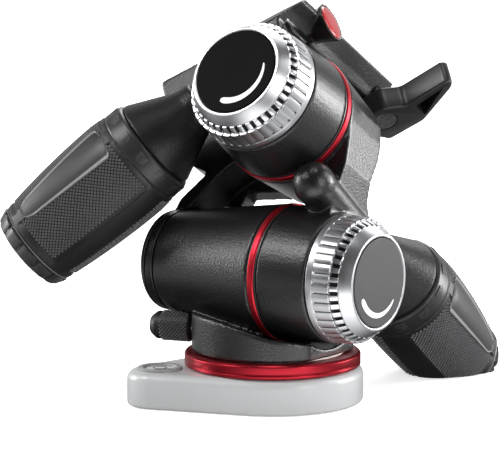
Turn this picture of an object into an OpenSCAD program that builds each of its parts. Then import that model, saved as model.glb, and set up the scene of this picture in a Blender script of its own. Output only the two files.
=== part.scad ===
// Three way pan and tilt head for a camera tripod, in millimetres.
// Origin: centre of the underside of the base plate, +Z up, +X along the lower tilt axis.
// The head is modelled as it stands at rest: tilted back, rolled, grips pushed in.

/* [Pose] */
// Backward tilt of the yoke about the lower axis, degrees
tilt_deg = 30.4; // [0:0.1:31]
// Roll of the platform about the upper axis, degrees
roll_deg = 33; // [0:0.5:34]

/* [Base] */
// Diameter of the pale base plate
plate_d = 61.8; // [58:0.2:66]
// Thickness of the base plate
plate_h = 12; // [9:0.5:15]
// Distance from the pan axis to the round level
lobe_r = 39.1; // [37:0.1:43]
// Direction of the lobe that carries the level, degrees
lobe_deg = -131.6; // [-160:1:-110]
// Diameter of the lobe's round end
lobe_d = 22.2; // [21:0.2:26]
// Diameter of the round level's vial
vial_d = 11; // [8:0.5:13]
// Diameter of the red base disc
disc_d = 60; // [56:0.5:62]
// Thickness of the red base disc
disc_h = 5; // [4:0.5:6]
// Tapped hole for the tripod screw (tap drill of a 3/8 inch thread)
tripod_hole_d = 7.94; // [7.5:0.02:8.2]
// Depth of the tapped hole
tripod_hole_l = 12; // [9:0.5:13]

/* [Pan body] */
// Diameter of the pan body
pan_d = 55; // [52:0.5:56]
// Height of the pan body's straight wall above the base disc
pan_wall_h = 11; // [9:0.5:12]
// Height of the lower tilt axis above the base disc's underside
axis_h = 32.1; // [31.5:0.1:36]
// Direction of the pan lock knob, degrees
pan_knob_deg = 195; // [190:1:200]
// Diameter of the pan lock knob
pan_knob_d = 10.6; // [9.6:0.2:11]
// Distance of the pan lock knob's outer end from the pan axis
pan_knob_reach = 44.5; // [42:0.5:48]

/* [Barrels] */
// Radius of the red rings
ring_r = 23.6; // [23:0.1:24.5]
// Width of the red rings
ring_w = 3.6; // [3:0.1:4]
// Distance from ring to the face of the friction dial
barrel_l = 37.9; // [37:0.1:40]
// Place of the lower ring on the lower axis
lower_ring_x = 5.4; // [5:0.1:6.5]
// Place of the seam between lower housing and end cap
seam_x = -38.3; // [-41:0.1:-37]
// Radius of the lower housing at the seam
seam_r = 17.5; // [17:0.1:19]
// Length of the left end cap
end_cap_l = 6.7; // [6:0.1:9]
// Length of each turning sleeve
sleeve_l = 18.2; // [17.5:0.1:18.8]
// Radius of the sleeve where it meets the friction knob
sleeve_r = 22; // [21.5:0.1:23]
// Diameter of the steel spindles
spindle_d = 12; // [10:0.5:13]

/* [Yoke] */
// Distance between the lower and upper axes
axes_gap = 49.2; // [48.5:0.1:54]
// Place of the upper ring on the upper axis
upper_ring_u = 16; // [14:0.5:17]
// Length of the upper barrel behind the ring
rear_l = 31; // [29:0.5:33]
// Radius of the upper barrel's rear cap
rear_r = 19.3; // [18:0.1:21]
// Outer face of the right arm
arm_x = 26; // [25.5:0.1:26.8]
// Wall of the yoke's arms
arm_t = 6.5; // [5:0.5:8]

/* [Friction knobs] */
// Radius of the friction knob at its back edge
knob_r = 21.7; // [21:0.1:22.5]
// Radius of the knob at its bright front rim
knob_front_r = 18.6; // [18:0.1:19.5]
// Radius of the black dial in the knob
dial_r = 14.9; // [13:0.1:16]
// Number of ribs round the knob
rib_n = 40; // [24:1:48]

/* [Handles] */
// Offset of each handle's axis from its barrel's axis
handle_off = 21.8; // [21.5:0.1:22.5]
// Place of the lower handle along its barrel, from the ring
lower_boss_s = 15; // [14.5:0.1:15]
// Place of the upper handle along its barrel, from the ring
upper_boss_s = 11; // [11:0.1:14]
// Droop of the lower handle below level at rest, degrees
lower_droop = 38.7; // [37:0.1:41]
// Droop of the upper handle below the platform's plane, degrees
upper_droop = 15.7; // [14:0.1:18]
// Distance from boss to collar on the lower handle
lower_neck_l = 38.6; // [38:0.1:44]
// Distance from boss to collar on the upper handle
upper_neck_l = 42.6; // [38:0.1:46]
// Radius of the lock boss across the sleeve
boss_r = 6.9; // [6.5:0.1:7]
// Radius of the ball end of the lower lock boss
ball_r = 7.3; // [7:0.1:7.6]
// Radius of the handle's collar at its rim
collar_r = 17.6; // [17:0.1:18.4]
// Largest radius of the grip
grip_r = 18.9; // [18.4:0.1:19.4]
// Radius of the grip at its end cap
grip_end_r = 16.1; // [15:0.1:17]
// Length of the grip from collar rim to end cap
grip_l = 53; // [48:0.5:58]
// Length of the end cap
grip_cap_l = 6.4; // [5:0.1:8]
// How far the grips pull out
grip_travel = 34; // [25:1:35]

/* [Platform] */
// Width of the platform, across the camera
plat_w = 61; // [58:0.5:64]
// Length of the platform, along the lens
plat_l = 62; // [58:0.5:64]
// Right edge of the platform from the upper axis
plat_x1 = 20; // [19:0.5:21]
// Front edge of the platform in front of the lower axis plane
plat_front = 24; // [22:0.5:26]
// Height of the platform's underside above the upper axis
plat_z = 26.6; // [26.2:0.1:28]
// Thickness of the platform's floor
floor_t = 4; // [3.5:0.1:5]
// Height of the receiver's side walls above the floor
wall_h = 4.4; // [4:0.1:5]
// Thickness of the camera plate
cam_plate_t = 6; // [5.5:0.1:7]
// Diameter of the camera screw (1/4 inch)
cam_screw_d = 6.35; // [6:0.05:6.5]
// Height of the camera screw above the pad
cam_screw_up = 5.5; // [4.5:0.1:6.5]
// Length of the release lever from pivot to tip
lever_l = 30; // [26:0.5:32]
// Thickness of the release lever
lever_t = 9.5; // [8:0.5:10]

/* [Hidden] */
$fn = 72;
fit = 0.05;        // radial running clearance on shafts
gap = 0.3;         // clearance between parts that move past each other
face = 0.1;        // axial play between turning faces
spindle_r = spindle_d/2;
disc_z = plate_h;
washer_t = 0.4;
pan_z = disc_z + disc_h + washer_t;
axis_z = disc_z + axis_h;
lobe_x = lobe_r*cos(lobe_deg);
lobe_y = lobe_r*sin(lobe_deg);
bush_ri = spindle_r + fit;
bush_ro = bush_ri + 2.5;
sleeve_s0 = ring_w + gap;              // start of a sleeve, from the ring's far edge
sleeve_s1 = sleeve_s0 + sleeve_l;
knob_s0 = sleeve_s1 + gap;
knob_s1 = barrel_l;
spindle_s1 = barrel_l - 4;             // end of a spindle inside its knob
cup_floor = 4;
cup_wall = 3.4;
hub_r = bush_ro + 2.5;
end_x = seam_x - end_cap_l;
cap_screw_r = 1.4;
cap_screw_in = 1.8;
hub_l = 3.6;                           // the yoke's left hub, under the end cap
pan_bolt_r = 4;
pan_bolt_top = axis_z - 9;
pan_nut_h = 4.4;
housing_bore_r = 13.4;
rod_r = 4;
tube_r = 7;
rod_in = 15;                           // how far the lock rod reaches past the handle axis's foot
shoe_l = 3.6;                          // brass shoe ahead of the rod
shoe_z = -rod_in - 0.4 - shoe_l;
lower_boss_l = 24;                     // the lower lock boss ahead of the handle axis's foot
upper_boss_l = 20.5;
neck_s = 20;                           // start of the turning neck, from the foot of the handle axis
core_r = 12;
collar_l = 7;
grip_peak = 13;
slip = gap;                            // rim to neck gap
panel_w = 13;
lower_panel_deg = 0;                   // turn of the panels about each handle
upper_panel_deg = 264;
dove = 2.2;                            // lean of the dovetail sides
wall_x0 = plat_x1 - 7;                 // inner faces of the receiver, at the floor
wall_x1 = plat_x1 - plat_w + 6;
plat_z1 = plat_z + floor_t;
cam_z0 = plat_z1 + face;
cam_z1 = cam_z0 + cam_plate_t;
pad_t = 1.6;
plat_y0 = -plat_front;
plat_y1 = plat_y0 + plat_l;
rim_t = 9;                             // the raised front block of the receiver
cam_x = (wall_x0 + wall_x1)/2;
cam_y = (plat_y0 + rim_t + plat_y1)/2;
cam_screw_r = cam_screw_d/2;
cam_head_r = 9.5;
neck_in = 0.2;                         // the camera screw's neck is thinner than its thread
pivot_x = plat_x1 - 5;
pivot_y = plat_y1 - 1;
pin_r = 2.5;
lever_z1 = plat_z - gap;
lever_z0 = lever_z1 - lever_t;
badge_r = 6.3;
badge_y = -15.6;
badge_z = plat_z + 3.2;
block_top = plat_z1 + wall_h + 1.2;

// ---------- frames ----------

// Children along +Z are set along the lower axis, with 0 at the lower ring's far edge
module lower_axis() translate([lower_ring_x, 0, axis_z]) rotate([0, 90, 0]) children();

// X stays, -Y is the lens direction and Z runs from the lower to the upper axis
module tilted() translate([0, 0, axis_z]) rotate([-tilt_deg, 0, 0]) children();

module at_upper() tilted() translate([0, 0, axes_gap]) children();

// Children along +Z are set along the upper axis, with 0 at the upper ring's far edge
module upper_axis() at_upper() translate([0, -upper_ring_u, 0]) rotate([90, 0, 0]) children();

// The platform's own frame, with the upper axis as its Y axis
module rolled() at_upper() rotate([0, -roll_deg, 0]) children();

// Children along +Z are set along the lower handle, with X towards the knob
module lower_handle()
    translate([lower_ring_x + lower_boss_s, 0, axis_z])
    rotate([-lower_droop, 0, 0]) translate([0, 0, handle_off])
    rotate([-90, 0, 0]) children();

// The same for the upper handle, in the platform's frame
module upper_handle()
    rolled() rotate([0, -upper_droop, 0])
    translate([0, -upper_ring_u - upper_boss_s, handle_off])
    rotate([0, -90, 0]) children();

// ---------- shared shapes ----------

module ring_of(ro, ri, h) difference() {
    cylinder(r = ro, h = h);
    translate([0, 0, -1]) cylinder(r = ri, h = h + 2);
}

module along_y(y0, y1) translate([0, y1, 0]) rotate([90, 0, 0]) linear_extrude(y1 - y0) children();
module along_x(x0, x1) translate([x0, 0, 0]) rotate([90, 0, 90]) linear_extrude(x1 - x0) children();

// Red ring disc that closes a barrel and carries its spindle
module barrel_ring() rotate_extrude()
    polygon([[spindle_r, 0], [ring_r - 0.4, 0], [ring_r, 0.4], [ring_r, ring_w - 0.4],
             [ring_r - 0.4, ring_w], [spindle_r, ring_w]]);

// Outer envelope of a sleeve, for what is joined to it
module sleeve_solid() translate([0, 0, sleeve_s0])
    cylinder(r1 = ring_r - 0.3, r2 = sleeve_r - 0.2, h = sleeve_l);

module bush_shape() translate([0, 0, sleeve_s0]) ring_of(bush_ro, bush_ri, sleeve_l);

// Knurled friction knob: bright shell with ribs, a stepped crown and a front bevel
module friction_shell() {
    crown_s = knob_s0 + 8.6;
    difference() {
        rotate_extrude() polygon([
            [knob_r - 0.5, knob_s0], [knob_r, knob_s0 + 0.5], [knob_r - 0.7, crown_s - 1.5],
            [knob_r - 1.6, crown_s], [knob_r - 2.1, crown_s + 2.2], [knob_front_r, crown_s + 3],
            [dial_r + 1.2, knob_s1 - 0.2], [dial_r + 0.1, knob_s1 - 0.2],
            [dial_r + 0.1, knob_s1 - 2], [10, knob_s1 - 2], [10, knob_s0 + 2.4],
            [12.4, knob_s0 + 2.4], [12.4, knob_s1 - 4.4], [knob_r - 4.6, knob_s1 - 6],
            [knob_r - 3.4, knob_s0]]);
        for (i = [0:rib_n - 1]) rotate(i*360/rib_n)
            translate([knob_r + 0.2, 0, knob_s0 + 1.6])
            rotate([0, -5, 0]) cylinder(r = 0.75, h = crown_s - knob_s0 + 3, $fn = 4);
    }
}

module friction_dial() translate([0, 0, knob_s1 - 2]) cylinder(r = dial_r, h = 2);

module friction_nut() translate([0, 0, knob_s0 + 2.4])
    ring_of(10, bush_ri, spindle_s1 + 1 - knob_s0 - 2.4);

// Two dished spring washers back to back on the spindle
module spring_washers() {
    z0 = sleeve_s1 + 0.15;
    z1 = knob_s0 + 2.3;
    zm = (z0 + z1)/2;
    rotate_extrude() polygon([[bush_ri + 0.3, z0], [bush_ri + 1.6, z0], [9.6, zm - 0.5],
        [9.6, zm + 0.5], [bush_ri + 1.6, z1], [bush_ri + 0.3, z1], [8.6, zm]]);
}

// Neck: the black cone that turns with the grip and carries the lock rod
module neck_shape(neck_l) rotate_extrude()
    polygon([[rod_r, neck_s], [7.6, neck_s], [8.4, neck_s + 0.8], [9, neck_l - 18],
             [9.9, neck_l - 15], [11.8, neck_l - 11], [14.4, neck_l - 5.4], [16.6, neck_l - 0.9],
             [16.6, neck_l], [tube_r, neck_l], [tube_r, neck_s + 2], [rod_r, neck_s + 2]]);

module rod_shape(neck_l) union() {
    translate([0, 0, -rod_in]) cylinder(r = rod_r, h = rod_in + neck_s + 2);
    translate([0, 0, neck_s + 2]) cylinder(r = tube_r, h = neck_l + 40 - neck_s - 2);
}

module collar_shape(neck_l) translate([0, 0, neck_l + slip]) rotate_extrude()
    polygon([[core_r, 0], [collar_r - 0.5, 0], [collar_r, 0.5], [collar_r + 0.75, collar_l],
             [core_r, collar_l]]);

module core_shape(neck_l) translate([0, 0, neck_l + slip])
    ring_of(core_r, tube_r + fit, grip_l - slip);

// Outer line of the rubber grip, from the collar to the end cap
module grip_line(neck_l, inner) translate([0, 0, neck_l + slip]) rotate_extrude()
    polygon(concat([[inner, collar_l], [collar_r + 0.8, collar_l]],
        [for (i = [0:8]) let (k = i/8)
            [grip_r - (grip_r - grip_end_r)*k*k, grip_peak + (grip_l - slip - grip_peak)*k]],
        [[inner, grip_l - slip]]));

// Space of the two smooth panels let into the grip, on opposite sides
module panel_space(neck_l, grow) for (a = [0, 180]) rotate(a)
    translate([core_r + 3, -panel_w/2 - grow, neck_l + slip + collar_l + 3 - grow])
    cube([8, panel_w + 2*grow, grip_l - collar_l - 8 + 2*grow]);

module rubber_shape(neck_l) difference() {
    grip_line(neck_l, core_r);
    panel_space(neck_l, 0);
}

module panel_shape(neck_l) intersection() {
    grip_line(neck_l, core_r);
    panel_space(neck_l, -0.05);
}

module end_shape(neck_l) translate([0, 0, neck_l + grip_l]) difference() {
    rotate_extrude() polygon([[0, 0], [grip_end_r, 0], [grip_end_r, 0.8],
        [grip_end_r - 0.6, grip_cap_l - 2.4], [grip_end_r - 1.4, grip_cap_l - 0.9],
        [grip_end_r - 2.8, grip_cap_l], [0, grip_cap_l]]);
    for (i = [0:11]) rotate(i*30) translate([grip_end_r, 0, grip_cap_l - 3])
        cube([2.6, 1.6, 8], center = true);
}

// Cross boss that clamps a sleeve, with its bore for the lock rod
module boss_solid(back, front) translate([0, 0, -front]) cylinder(r = boss_r, h = front + back);
module boss_bore() translate([0, 0, shoe_z]) cylinder(r = rod_r + fit, h = 40 - shoe_z);

// ---------- base ----------

module plate_outline(inset) {
    hull() {
        circle(r = plate_d/2 - inset);
        translate([lobe_x, lobe_y]) circle(r = lobe_d/2 - inset);
    }
}

level_seat_d = vial_d + 4;
level_seat_h = 4;
bush_flange_r = 9;
base_screw_at = 20;

module base_plate() color([0.82, 0.83, 0.84]) difference() {
    union() {
        linear_extrude(1.5) plate_outline(1.2);
        translate([0, 0, 1.5]) linear_extrude(plate_h - 3) plate_outline(0);
        translate([0, 0, plate_h - 1.5]) linear_extrude(1.5) plate_outline(1.2);
    }
    translate([0, 0, -1]) cylinder(r = bush_flange_r - 2, h = plate_h + 2);
    translate([0, 0, plate_h - 2]) cylinder(r = bush_flange_r, h = 3);
    translate([lobe_x, lobe_y, plate_h - level_seat_h]) cylinder(d = level_seat_d, h = level_seat_h + 1);
    for (a = [0:120:240]) rotate(a) translate([base_screw_at, 0, -1]) {
        cylinder(r = 2.1, h = plate_h + 2);
        cylinder(r = 4, h = 5.5);
    }
}

module level_bezel() color([0.75, 0.76, 0.77]) translate([lobe_x, lobe_y, plate_h - level_seat_h])
    ring_of(level_seat_d/2, vial_d/2, level_seat_h + 0.8);

module level_vial() color([0.75, 0.9, 0.5]) translate([lobe_x, lobe_y, plate_h - level_seat_h])
    cylinder(d = vial_d, h = level_seat_h + 0.4);

module base_disc() color([0.72, 0.1, 0.13]) translate([0, 0, disc_z]) difference() {
    rotate_extrude() polygon([[pan_bolt_r + 3, 0], [disc_d/2 - 0.5, 0], [disc_d/2, 0.5],
        [disc_d/2, disc_h - 0.5], [disc_d/2 - 0.5, disc_h], [pan_bolt_r + 3, disc_h]]);
    for (a = [0:120:240]) rotate(a) translate([base_screw_at, 0, -1]) cylinder(r = 1.7, h = 4.8);
}

module base_screws() color([0.3, 0.3, 0.32]) for (a = [0:120:240]) rotate(a) translate([base_screw_at, 0, 0]) {
    translate([0, 0, 2.2]) difference() {
        cylinder(r = 3.6, h = 2.3);
        translate([0, 0, -1]) cylinder(r = 1.6, h = 2, $fn = 6);
    }
    translate([0, 0, 4.5]) cylinder(r = 1.7, h = plate_h - 4.5 + 3.4);
}

module tripod_bush() color([0.7, 0.7, 0.72]) difference() {
    union() {
        cylinder(r = bush_flange_r - 2, h = plate_h - 2);
        translate([0, 0, plate_h - 2]) cylinder(r = bush_flange_r, h = 2);
    }
    translate([0, 0, -1]) cylinder(d = tripod_hole_d, h = tripod_hole_l + 1);
}

module pan_bolt() color([0.7, 0.7, 0.72]) translate([0, 0, disc_z]) {
    cylinder(r = pan_bolt_r + 3, h = disc_h);
    cylinder(r = pan_bolt_r, h = pan_bolt_top - disc_z);
}

module thrust_washer() color([0.9, 0.9, 0.86]) translate([0, 0, disc_z + disc_h])
    ring_of(pan_d/2 - 3, pan_bolt_r + 5.5, washer_t - 0.05);

// ---------- pan body ----------

pan_bush_r = 8.5;
pan_bush_h = 1.8;
pan_screw_r = 2.5;
cradle_r = ring_r + 0.5;
low_wall_h = 6.5;                      // height of the wall on the knob's side
pan_flat_x = 24.3;                     // flat on the knob's side

module pan_housing() color([0.12, 0.12, 0.13]) difference() {
    union() {
        translate([0, 0, pan_z]) cylinder(r = pan_d/2, h = pan_wall_h);
        translate([0, 0, axis_z]) rotate([0, 90, 0]) {
            translate([0, 0, seam_x]) cylinder(r1 = seam_r, r2 = ring_r - 0.2, h = lower_ring_x - seam_x);
        }
        rotate(pan_knob_deg) translate([16, 0, pan_knob_z]) rotate([0, 90, 0])
            cylinder(r = pan_knob_d/2 - 1, h = pan_d/2 - 15);
    }
    // cradle that clears the turning sleeve, ring and knob
    translate([lower_ring_x, 0, axis_z]) rotate([0, 90, 0]) cylinder(r = cradle_r, h = 60);
    translate([lower_ring_x, -40, pan_z + low_wall_h]) cube([60, 80, 60]);
    translate([pan_flat_x, -40, pan_z - 1]) cube([20, 80, 60]);
    // hollow of the barrel, with walls that hold the spindle
    translate([seam_x + 5, 0, axis_z]) rotate([0, 90, 0])
        cylinder(r = housing_bore_r, h = lower_ring_x - seam_x - 5 + 1);
    translate([seam_x - 1, 0, axis_z]) rotate([0, 90, 0]) cylinder(r = spindle_r, h = 10);
    // pan bolt
    translate([0, 0, pan_z - 1]) cylinder(r = pan_bolt_r + fit, h = 40);
    translate([0, 0, pan_z - 1]) cylinder(r = pan_bush_r, h = pan_bush_h + 1);
    // seat of the nut
    translate([0, 0, axis_z - housing_bore_r]) cylinder(r = 6.4, h = 8);
    // pan lock screw
    rotate(pan_knob_deg) translate([pan_bolt_r - 1, 0, pan_knob_z]) rotate([0, 90, 0])
        cylinder(r = pan_screw_r + fit, h = 40);
    // relief under the barrel for the lock knob
    rotate(pan_knob_deg) translate([pan_d/2 + 1, 0, pan_knob_z]) rotate([0, 90, 0])
        cylinder(r = pan_knob_d/2 + gap, h = 30);
}

pan_knob_z = pan_z + pan_knob_d/2 + 0.3;

module pan_bush() color([0.7, 0.55, 0.3]) translate([0, 0, pan_z])
    ring_of(pan_bush_r, pan_bolt_r + fit, pan_bush_h);

module pan_nut() color([0.7, 0.7, 0.72]) translate([0, 0, axis_z - housing_bore_r + 0.1]) difference() {
    cylinder(r = 5.1, h = pan_nut_h - 0.1, $fn = 6);
    translate([0, 0, -1]) cylinder(r = pan_bolt_r, h = 9);
}

// Brass pad that the pan lock screw presses on the bolt
module pan_lock_pad() color([0.75, 0.6, 0.3]) rotate(pan_knob_deg)
    translate([pan_bolt_r + 0.4, 0, pan_knob_z]) rotate([0, 90, 0]) cylinder(r = pan_screw_r, h = 4);

module pan_knob_grip() color([0.1, 0.1, 0.1]) rotate(pan_knob_deg)
    translate([pan_d/2 + gap + 1, 0, pan_knob_z]) rotate([0, 90, 0]) {
    l = pan_knob_reach - pan_d/2 - gap - 1;
    difference() {
        rotate_extrude() polygon([[3.2, 0], [pan_knob_d/2 - 0.6, 0], [pan_knob_d/2, 0.6],
            [pan_knob_d/2, l - 2.2], [pan_knob_d/2 - 1.8, l], [0, l], [0, l - 3], [3.2, l - 3]]);
        for (i = [0:11]) rotate(i*30) translate([pan_knob_d/2 + 0.3, 0, 1.5])
            cylinder(r = 0.8, h = l, $fn = 12);
    }
}

module pan_knob_screw() color([0.6, 0.6, 0.62]) rotate(pan_knob_deg)
    translate([pan_bolt_r + 4.7, 0, pan_knob_z]) rotate([0, 90, 0]) {
    cylinder(r = pan_screw_r, h = pan_d/2 + gap + 1 - pan_bolt_r - 4.7);
    translate([0, 0, pan_d/2 + gap + 1 - pan_bolt_r - 4.7])
        cylinder(r = 3.2, h = pan_knob_reach - pan_d/2 - gap - 4);
}

module tilt_spindle() color([0.7, 0.7, 0.72]) translate([seam_x - hub_l + gap, 0, axis_z]) rotate([0, 90, 0])
    cylinder(r = spindle_r, h = lower_ring_x + spindle_s1 - seam_x + hub_l - gap);

module tilt_ring() color([0.78, 0.1, 0.14]) lower_axis() barrel_ring();

// ---------- yoke ----------

module right_arm() intersection() {
    along_x(0, arm_x + 1) polygon([[-15, 10], [9, 10], [9, 25], [4.5, 29.5], [3, 36],
        [6, axes_gap - 4], [6, axes_gap + 9], [-15, axes_gap + 9]]);
    along_y(-16, 16) polygon([[arm_x, 8], [arm_x, 36], [ring_r - 0.4, axes_gap + 2],
        [ring_r - 2.6, axes_gap + 9], [ring_r - 12, axes_gap + 9], [ring_r - 7, axes_gap - 3],
        [arm_x - arm_t, 33], [arm_x - arm_t, 8]]);
}

module left_arm() translate([0, 6, 0]) rotate([90, 0, 0]) linear_extrude(15)
    polygon([[seam_x - gap, 2], [seam_x - gap, 12], [-32.5, 22.5], [-29, 28.5], [-25, 33.5],
             [-18, 38], [-10, axes_gap], [-16, axes_gap + 11], [-26, axes_gap + 9],
             [-37.5, axes_gap - 3], [-40.5, 36], [-40.5, 32], [-34, 30.2], [-34, 28.9],
             [-40.8, 19.5], [seam_x - hub_l, 14], [seam_x - hub_l, 2]]);

module rear_web() translate([0, 13, 0]) rotate([90, 0, 0]) linear_extrude(7.2)
    polygon([[-36, 23.8], [-26, 23.8], [-25.3, 29.6], [-14, 31], [-6, 31.5], [-6, 40], [-20, 48],
             [-33, 45], [-36, 36]]);

module tilt_yoke() color([0.13, 0.13, 0.14]) difference() {
    union() {
        tilted() {
            right_arm();
            left_arm();
            rear_web();
            translate([seam_x - hub_l, 0, 0]) rotate([0, 90, 0]) cylinder(r = seam_r, h = hub_l - gap);
        }
        upper_axis() translate([0, 0, -rear_l + 5]) cylinder(r1 = rear_r + 1.2, r2 = ring_r - 0.1, h = rear_l - 5);
        lower_axis() sleeve_solid();
        lower_handle() {
            boss_solid(neck_s - gap, lower_boss_l);
            translate([0, 0, -lower_boss_l]) sphere(r = ball_r);
        }
    }
    // hollow of the sleeve round its hub
    lower_axis() {
        difference() {
            translate([0, 0, sleeve_s0 + cup_floor]) cylinder(r = sleeve_r - cup_wall, h = sleeve_l);
            translate([0, 0, sleeve_s0]) cylinder(r = hub_r, h = sleeve_l);
            yoke_boss_in_sleeve();
        }
        translate([0, 0, sleeve_s0 - 1]) cylinder(r = bush_ro, h = sleeve_l + 2);
        // clear of the housing, the ring and the knob
        translate([0, 0, sleeve_s1]) cylinder(r = knob_r + 0.6, h = 30);
        translate([0, 0, seam_x - gap - lower_ring_x])
            cylinder(r1 = seam_r + 0.5, r2 = cradle_r - 0.1, h = lower_ring_x - seam_x + gap);
        translate([0, 0, -0.5]) cylinder(r = cradle_r - 0.1, h = sleeve_s0 + 0.5);
    }
    cap_screw_places() cylinder(r = cap_screw_r, h = 10);
    // left hub bore
    translate([seam_x - hub_l - 1, 0, axis_z]) rotate([0, 90, 0]) cylinder(r = bush_ri + 1.6, h = 8);
    lower_handle() boss_bore();
    // hollow upper barrel and its spindle bore
    upper_axis() {
        translate([0, 0, -rear_l - 1]) cylinder(r = rear_r - 3.2, h = rear_l - 6);
        translate([0, 0, -rear_l - 1]) cylinder(r = rear_r + 1.25, h = 6);
        translate([0, 0, -20]) cylinder(r = spindle_r, h = 30);
        translate([0, 0, 0]) cylinder(r = ring_r + 1, h = 60);
    }
}

// The lock boss where it crosses the hollow sleeve, in the lower axis frame
module yoke_boss_in_sleeve() rotate([0, -90, 0]) translate([-lower_ring_x, 0, -axis_z])
    lower_handle() boss_solid(neck_s - gap, lower_boss_l);

module tilt_end_cap() color([0.1, 0.1, 0.1]) difference() {
    translate([end_x, 0, axis_z]) rotate([0, 90, 0])
        rotate_extrude() polygon([[0, 0], [seam_r - 3, 0], [seam_r - 1.2, 0.7], [seam_r - 0.3, 2],
            [seam_r, end_cap_l - hub_l], [0, end_cap_l - hub_l]]);
    cap_screw_places() cylinder(r = cap_screw_r, h = 10);
}

// Places of the three screws that hold the end cap, with +Z away from it
module cap_screw_places() tilted() for (a = [30, 150, 270])
    translate([seam_x - hub_l, 0, 0]) rotate([a, 0, 0]) translate([0, 0, 13]) rotate([0, 90, 0])
    translate([0, 0, -cap_screw_in]) children();

module end_cap_screws() color([0.5, 0.5, 0.52]) cap_screw_places()
    cylinder(r = cap_screw_r, h = cap_screw_in + hub_l - gap - 0.2);

module rear_cap() color([0.16, 0.16, 0.17]) upper_axis() translate([0, 0, -rear_l]) rotate_extrude()
    polygon([[0, 0], [rear_r - 4, 0], [rear_r - 1.6, 0.8], [rear_r, 2.6], [rear_r + 1.2, 5],
             [rear_r - 3.3, 5], [rear_r - 3.3, 7], [rear_r - 5.5, 7], [rear_r - 5.5, 3], [0, 3]]);

module roll_spindle() color([0.7, 0.7, 0.72]) upper_axis() {
    translate([0, 0, -18]) cylinder(r = spindle_r, h = 18 + spindle_s1);
    translate([0, 0, -18]) cylinder(r = spindle_r + 4, h = 11);
}

module roll_ring() color([0.78, 0.1, 0.14]) upper_axis() barrel_ring();

module tilt_bushes() color([0.7, 0.55, 0.3]) {
    lower_axis() bush_shape();
    translate([seam_x - hub_l, 0, axis_z]) rotate([0, 90, 0]) ring_of(bush_ri + 1.6, bush_ri, hub_l - gap);
}

module tilt_lock_shoe() color([0.75, 0.6, 0.3]) lower_handle() translate([0, 0, shoe_z])
    cylinder(r = rod_r, h = shoe_l);

// ---------- friction knobs ----------

module tilt_knob() color([0.8, 0.81, 0.83]) lower_axis() friction_shell();
module tilt_dial() color([0.25, 0.25, 0.26]) lower_axis() friction_dial();
module tilt_nut() color([0.75, 0.6, 0.3]) lower_axis() friction_nut();
module tilt_spring_washers() color([0.6, 0.6, 0.62]) lower_axis() spring_washers();

module roll_knob() color([0.8, 0.81, 0.83]) upper_axis() friction_shell();
module roll_dial() color([0.08, 0.08, 0.08]) upper_axis() friction_dial();
module roll_nut() color([0.75, 0.6, 0.3]) upper_axis() friction_nut();
module roll_spring_washers() color([0.6, 0.6, 0.62]) upper_axis() spring_washers();

// ---------- handles ----------

module tilt_neck() color([0.1, 0.1, 0.1]) lower_handle() neck_shape(lower_neck_l);
module tilt_lock_rod() color([0.7, 0.7, 0.72]) lower_handle() rod_shape(lower_neck_l);
module tilt_collar() color([0.1, 0.1, 0.1]) lower_handle() collar_shape(lower_neck_l);
module tilt_grip_core() color([0.2, 0.2, 0.2]) lower_handle() core_shape(lower_neck_l);
module tilt_grip_rubber() color([0.12, 0.12, 0.12]) lower_handle() rotate(lower_panel_deg) rubber_shape(lower_neck_l);
module tilt_grip_panel() color([0.3, 0.3, 0.31]) lower_handle() rotate(lower_panel_deg) panel_shape(lower_neck_l);
module tilt_grip_end() color([0.1, 0.1, 0.1]) lower_handle() end_shape(lower_neck_l);

module roll_neck() color([0.1, 0.1, 0.1]) upper_handle() neck_shape(upper_neck_l);
module roll_lock_rod() color([0.7, 0.7, 0.72]) upper_handle() rod_shape(upper_neck_l);
module roll_collar() color([0.1, 0.1, 0.1]) upper_handle() collar_shape(upper_neck_l);
module roll_grip_core() color([0.2, 0.2, 0.2]) upper_handle() core_shape(upper_neck_l);
module roll_grip_rubber() color([0.12, 0.12, 0.12]) upper_handle() rotate(upper_panel_deg) rubber_shape(upper_neck_l);
module roll_grip_panel() color([0.3, 0.3, 0.31]) upper_handle() rotate(upper_panel_deg) panel_shape(upper_neck_l);
module roll_grip_end() color([0.1, 0.1, 0.1]) upper_handle() end_shape(upper_neck_l);

// ---------- platform ----------

// Cross-section of the dovetail slot above the receiver's floor
module slot_profile(clear) polygon([
    [wall_x1 + clear, plat_z1], [wall_x0 - clear, plat_z1],
    [wall_x0 - dove - clear, plat_z1 + wall_h], [wall_x0 - dove - clear, plat_z1 + 20],
    [wall_x1 + dove + clear, plat_z1 + 20], [wall_x1 + dove + clear, plat_z1 + wall_h]]);

module head_body() {
    x0 = plat_x1 - plat_w;
    // floor and side walls
    along_y(plat_y0, plat_y1) polygon([[x0 + 3, plat_z], [plat_x1 - 7.5, plat_z], [plat_x1 - 5, plat_z + 3],
        [plat_x1, plat_z1 + wall_h - 0.8], [plat_x1 - 0.8, plat_z1 + wall_h],
        [x0 + 0.8, plat_z1 + wall_h], [x0, plat_z1 + wall_h - 0.8], [x0, plat_z + 2]]);
    // front block that joins platform and sleeve
    intersection() {
        along_x(-17, plat_x1 + 1.5) polygon([[-sleeve_front, 14], [-sleeve_front, 25.4], [-33, 30],
            [-26, block_top], [plat_y0 + rim_t + 1, block_top],
            [plat_y0 + rim_t + 1, plat_z], [-sleeve_back, plat_z], [-sleeve_back, 14]]);
        along_y(-60, 0) polygon([[-18, 13], [plat_x1 - 8, 13], [plat_x1 - 7, plat_z - 2], [plat_x1 - 3, plat_z + 1],
            [plat_x1 + 1.5, plat_z + 2.6], [plat_x1 + 1.5, plat_z + 5.6], [plat_x1 - 10, block_top], [-18, block_top]]);
    }
    // lug beside the lever
    along_y(plat_y1 - 14, plat_y1 - 1) polygon([[-2, plat_z + 1], [-2, 17], [1.5, 14.5],
        [pivot_x - 10, 14.5], [pivot_x - 10, plat_z + 1]]);
}

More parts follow.
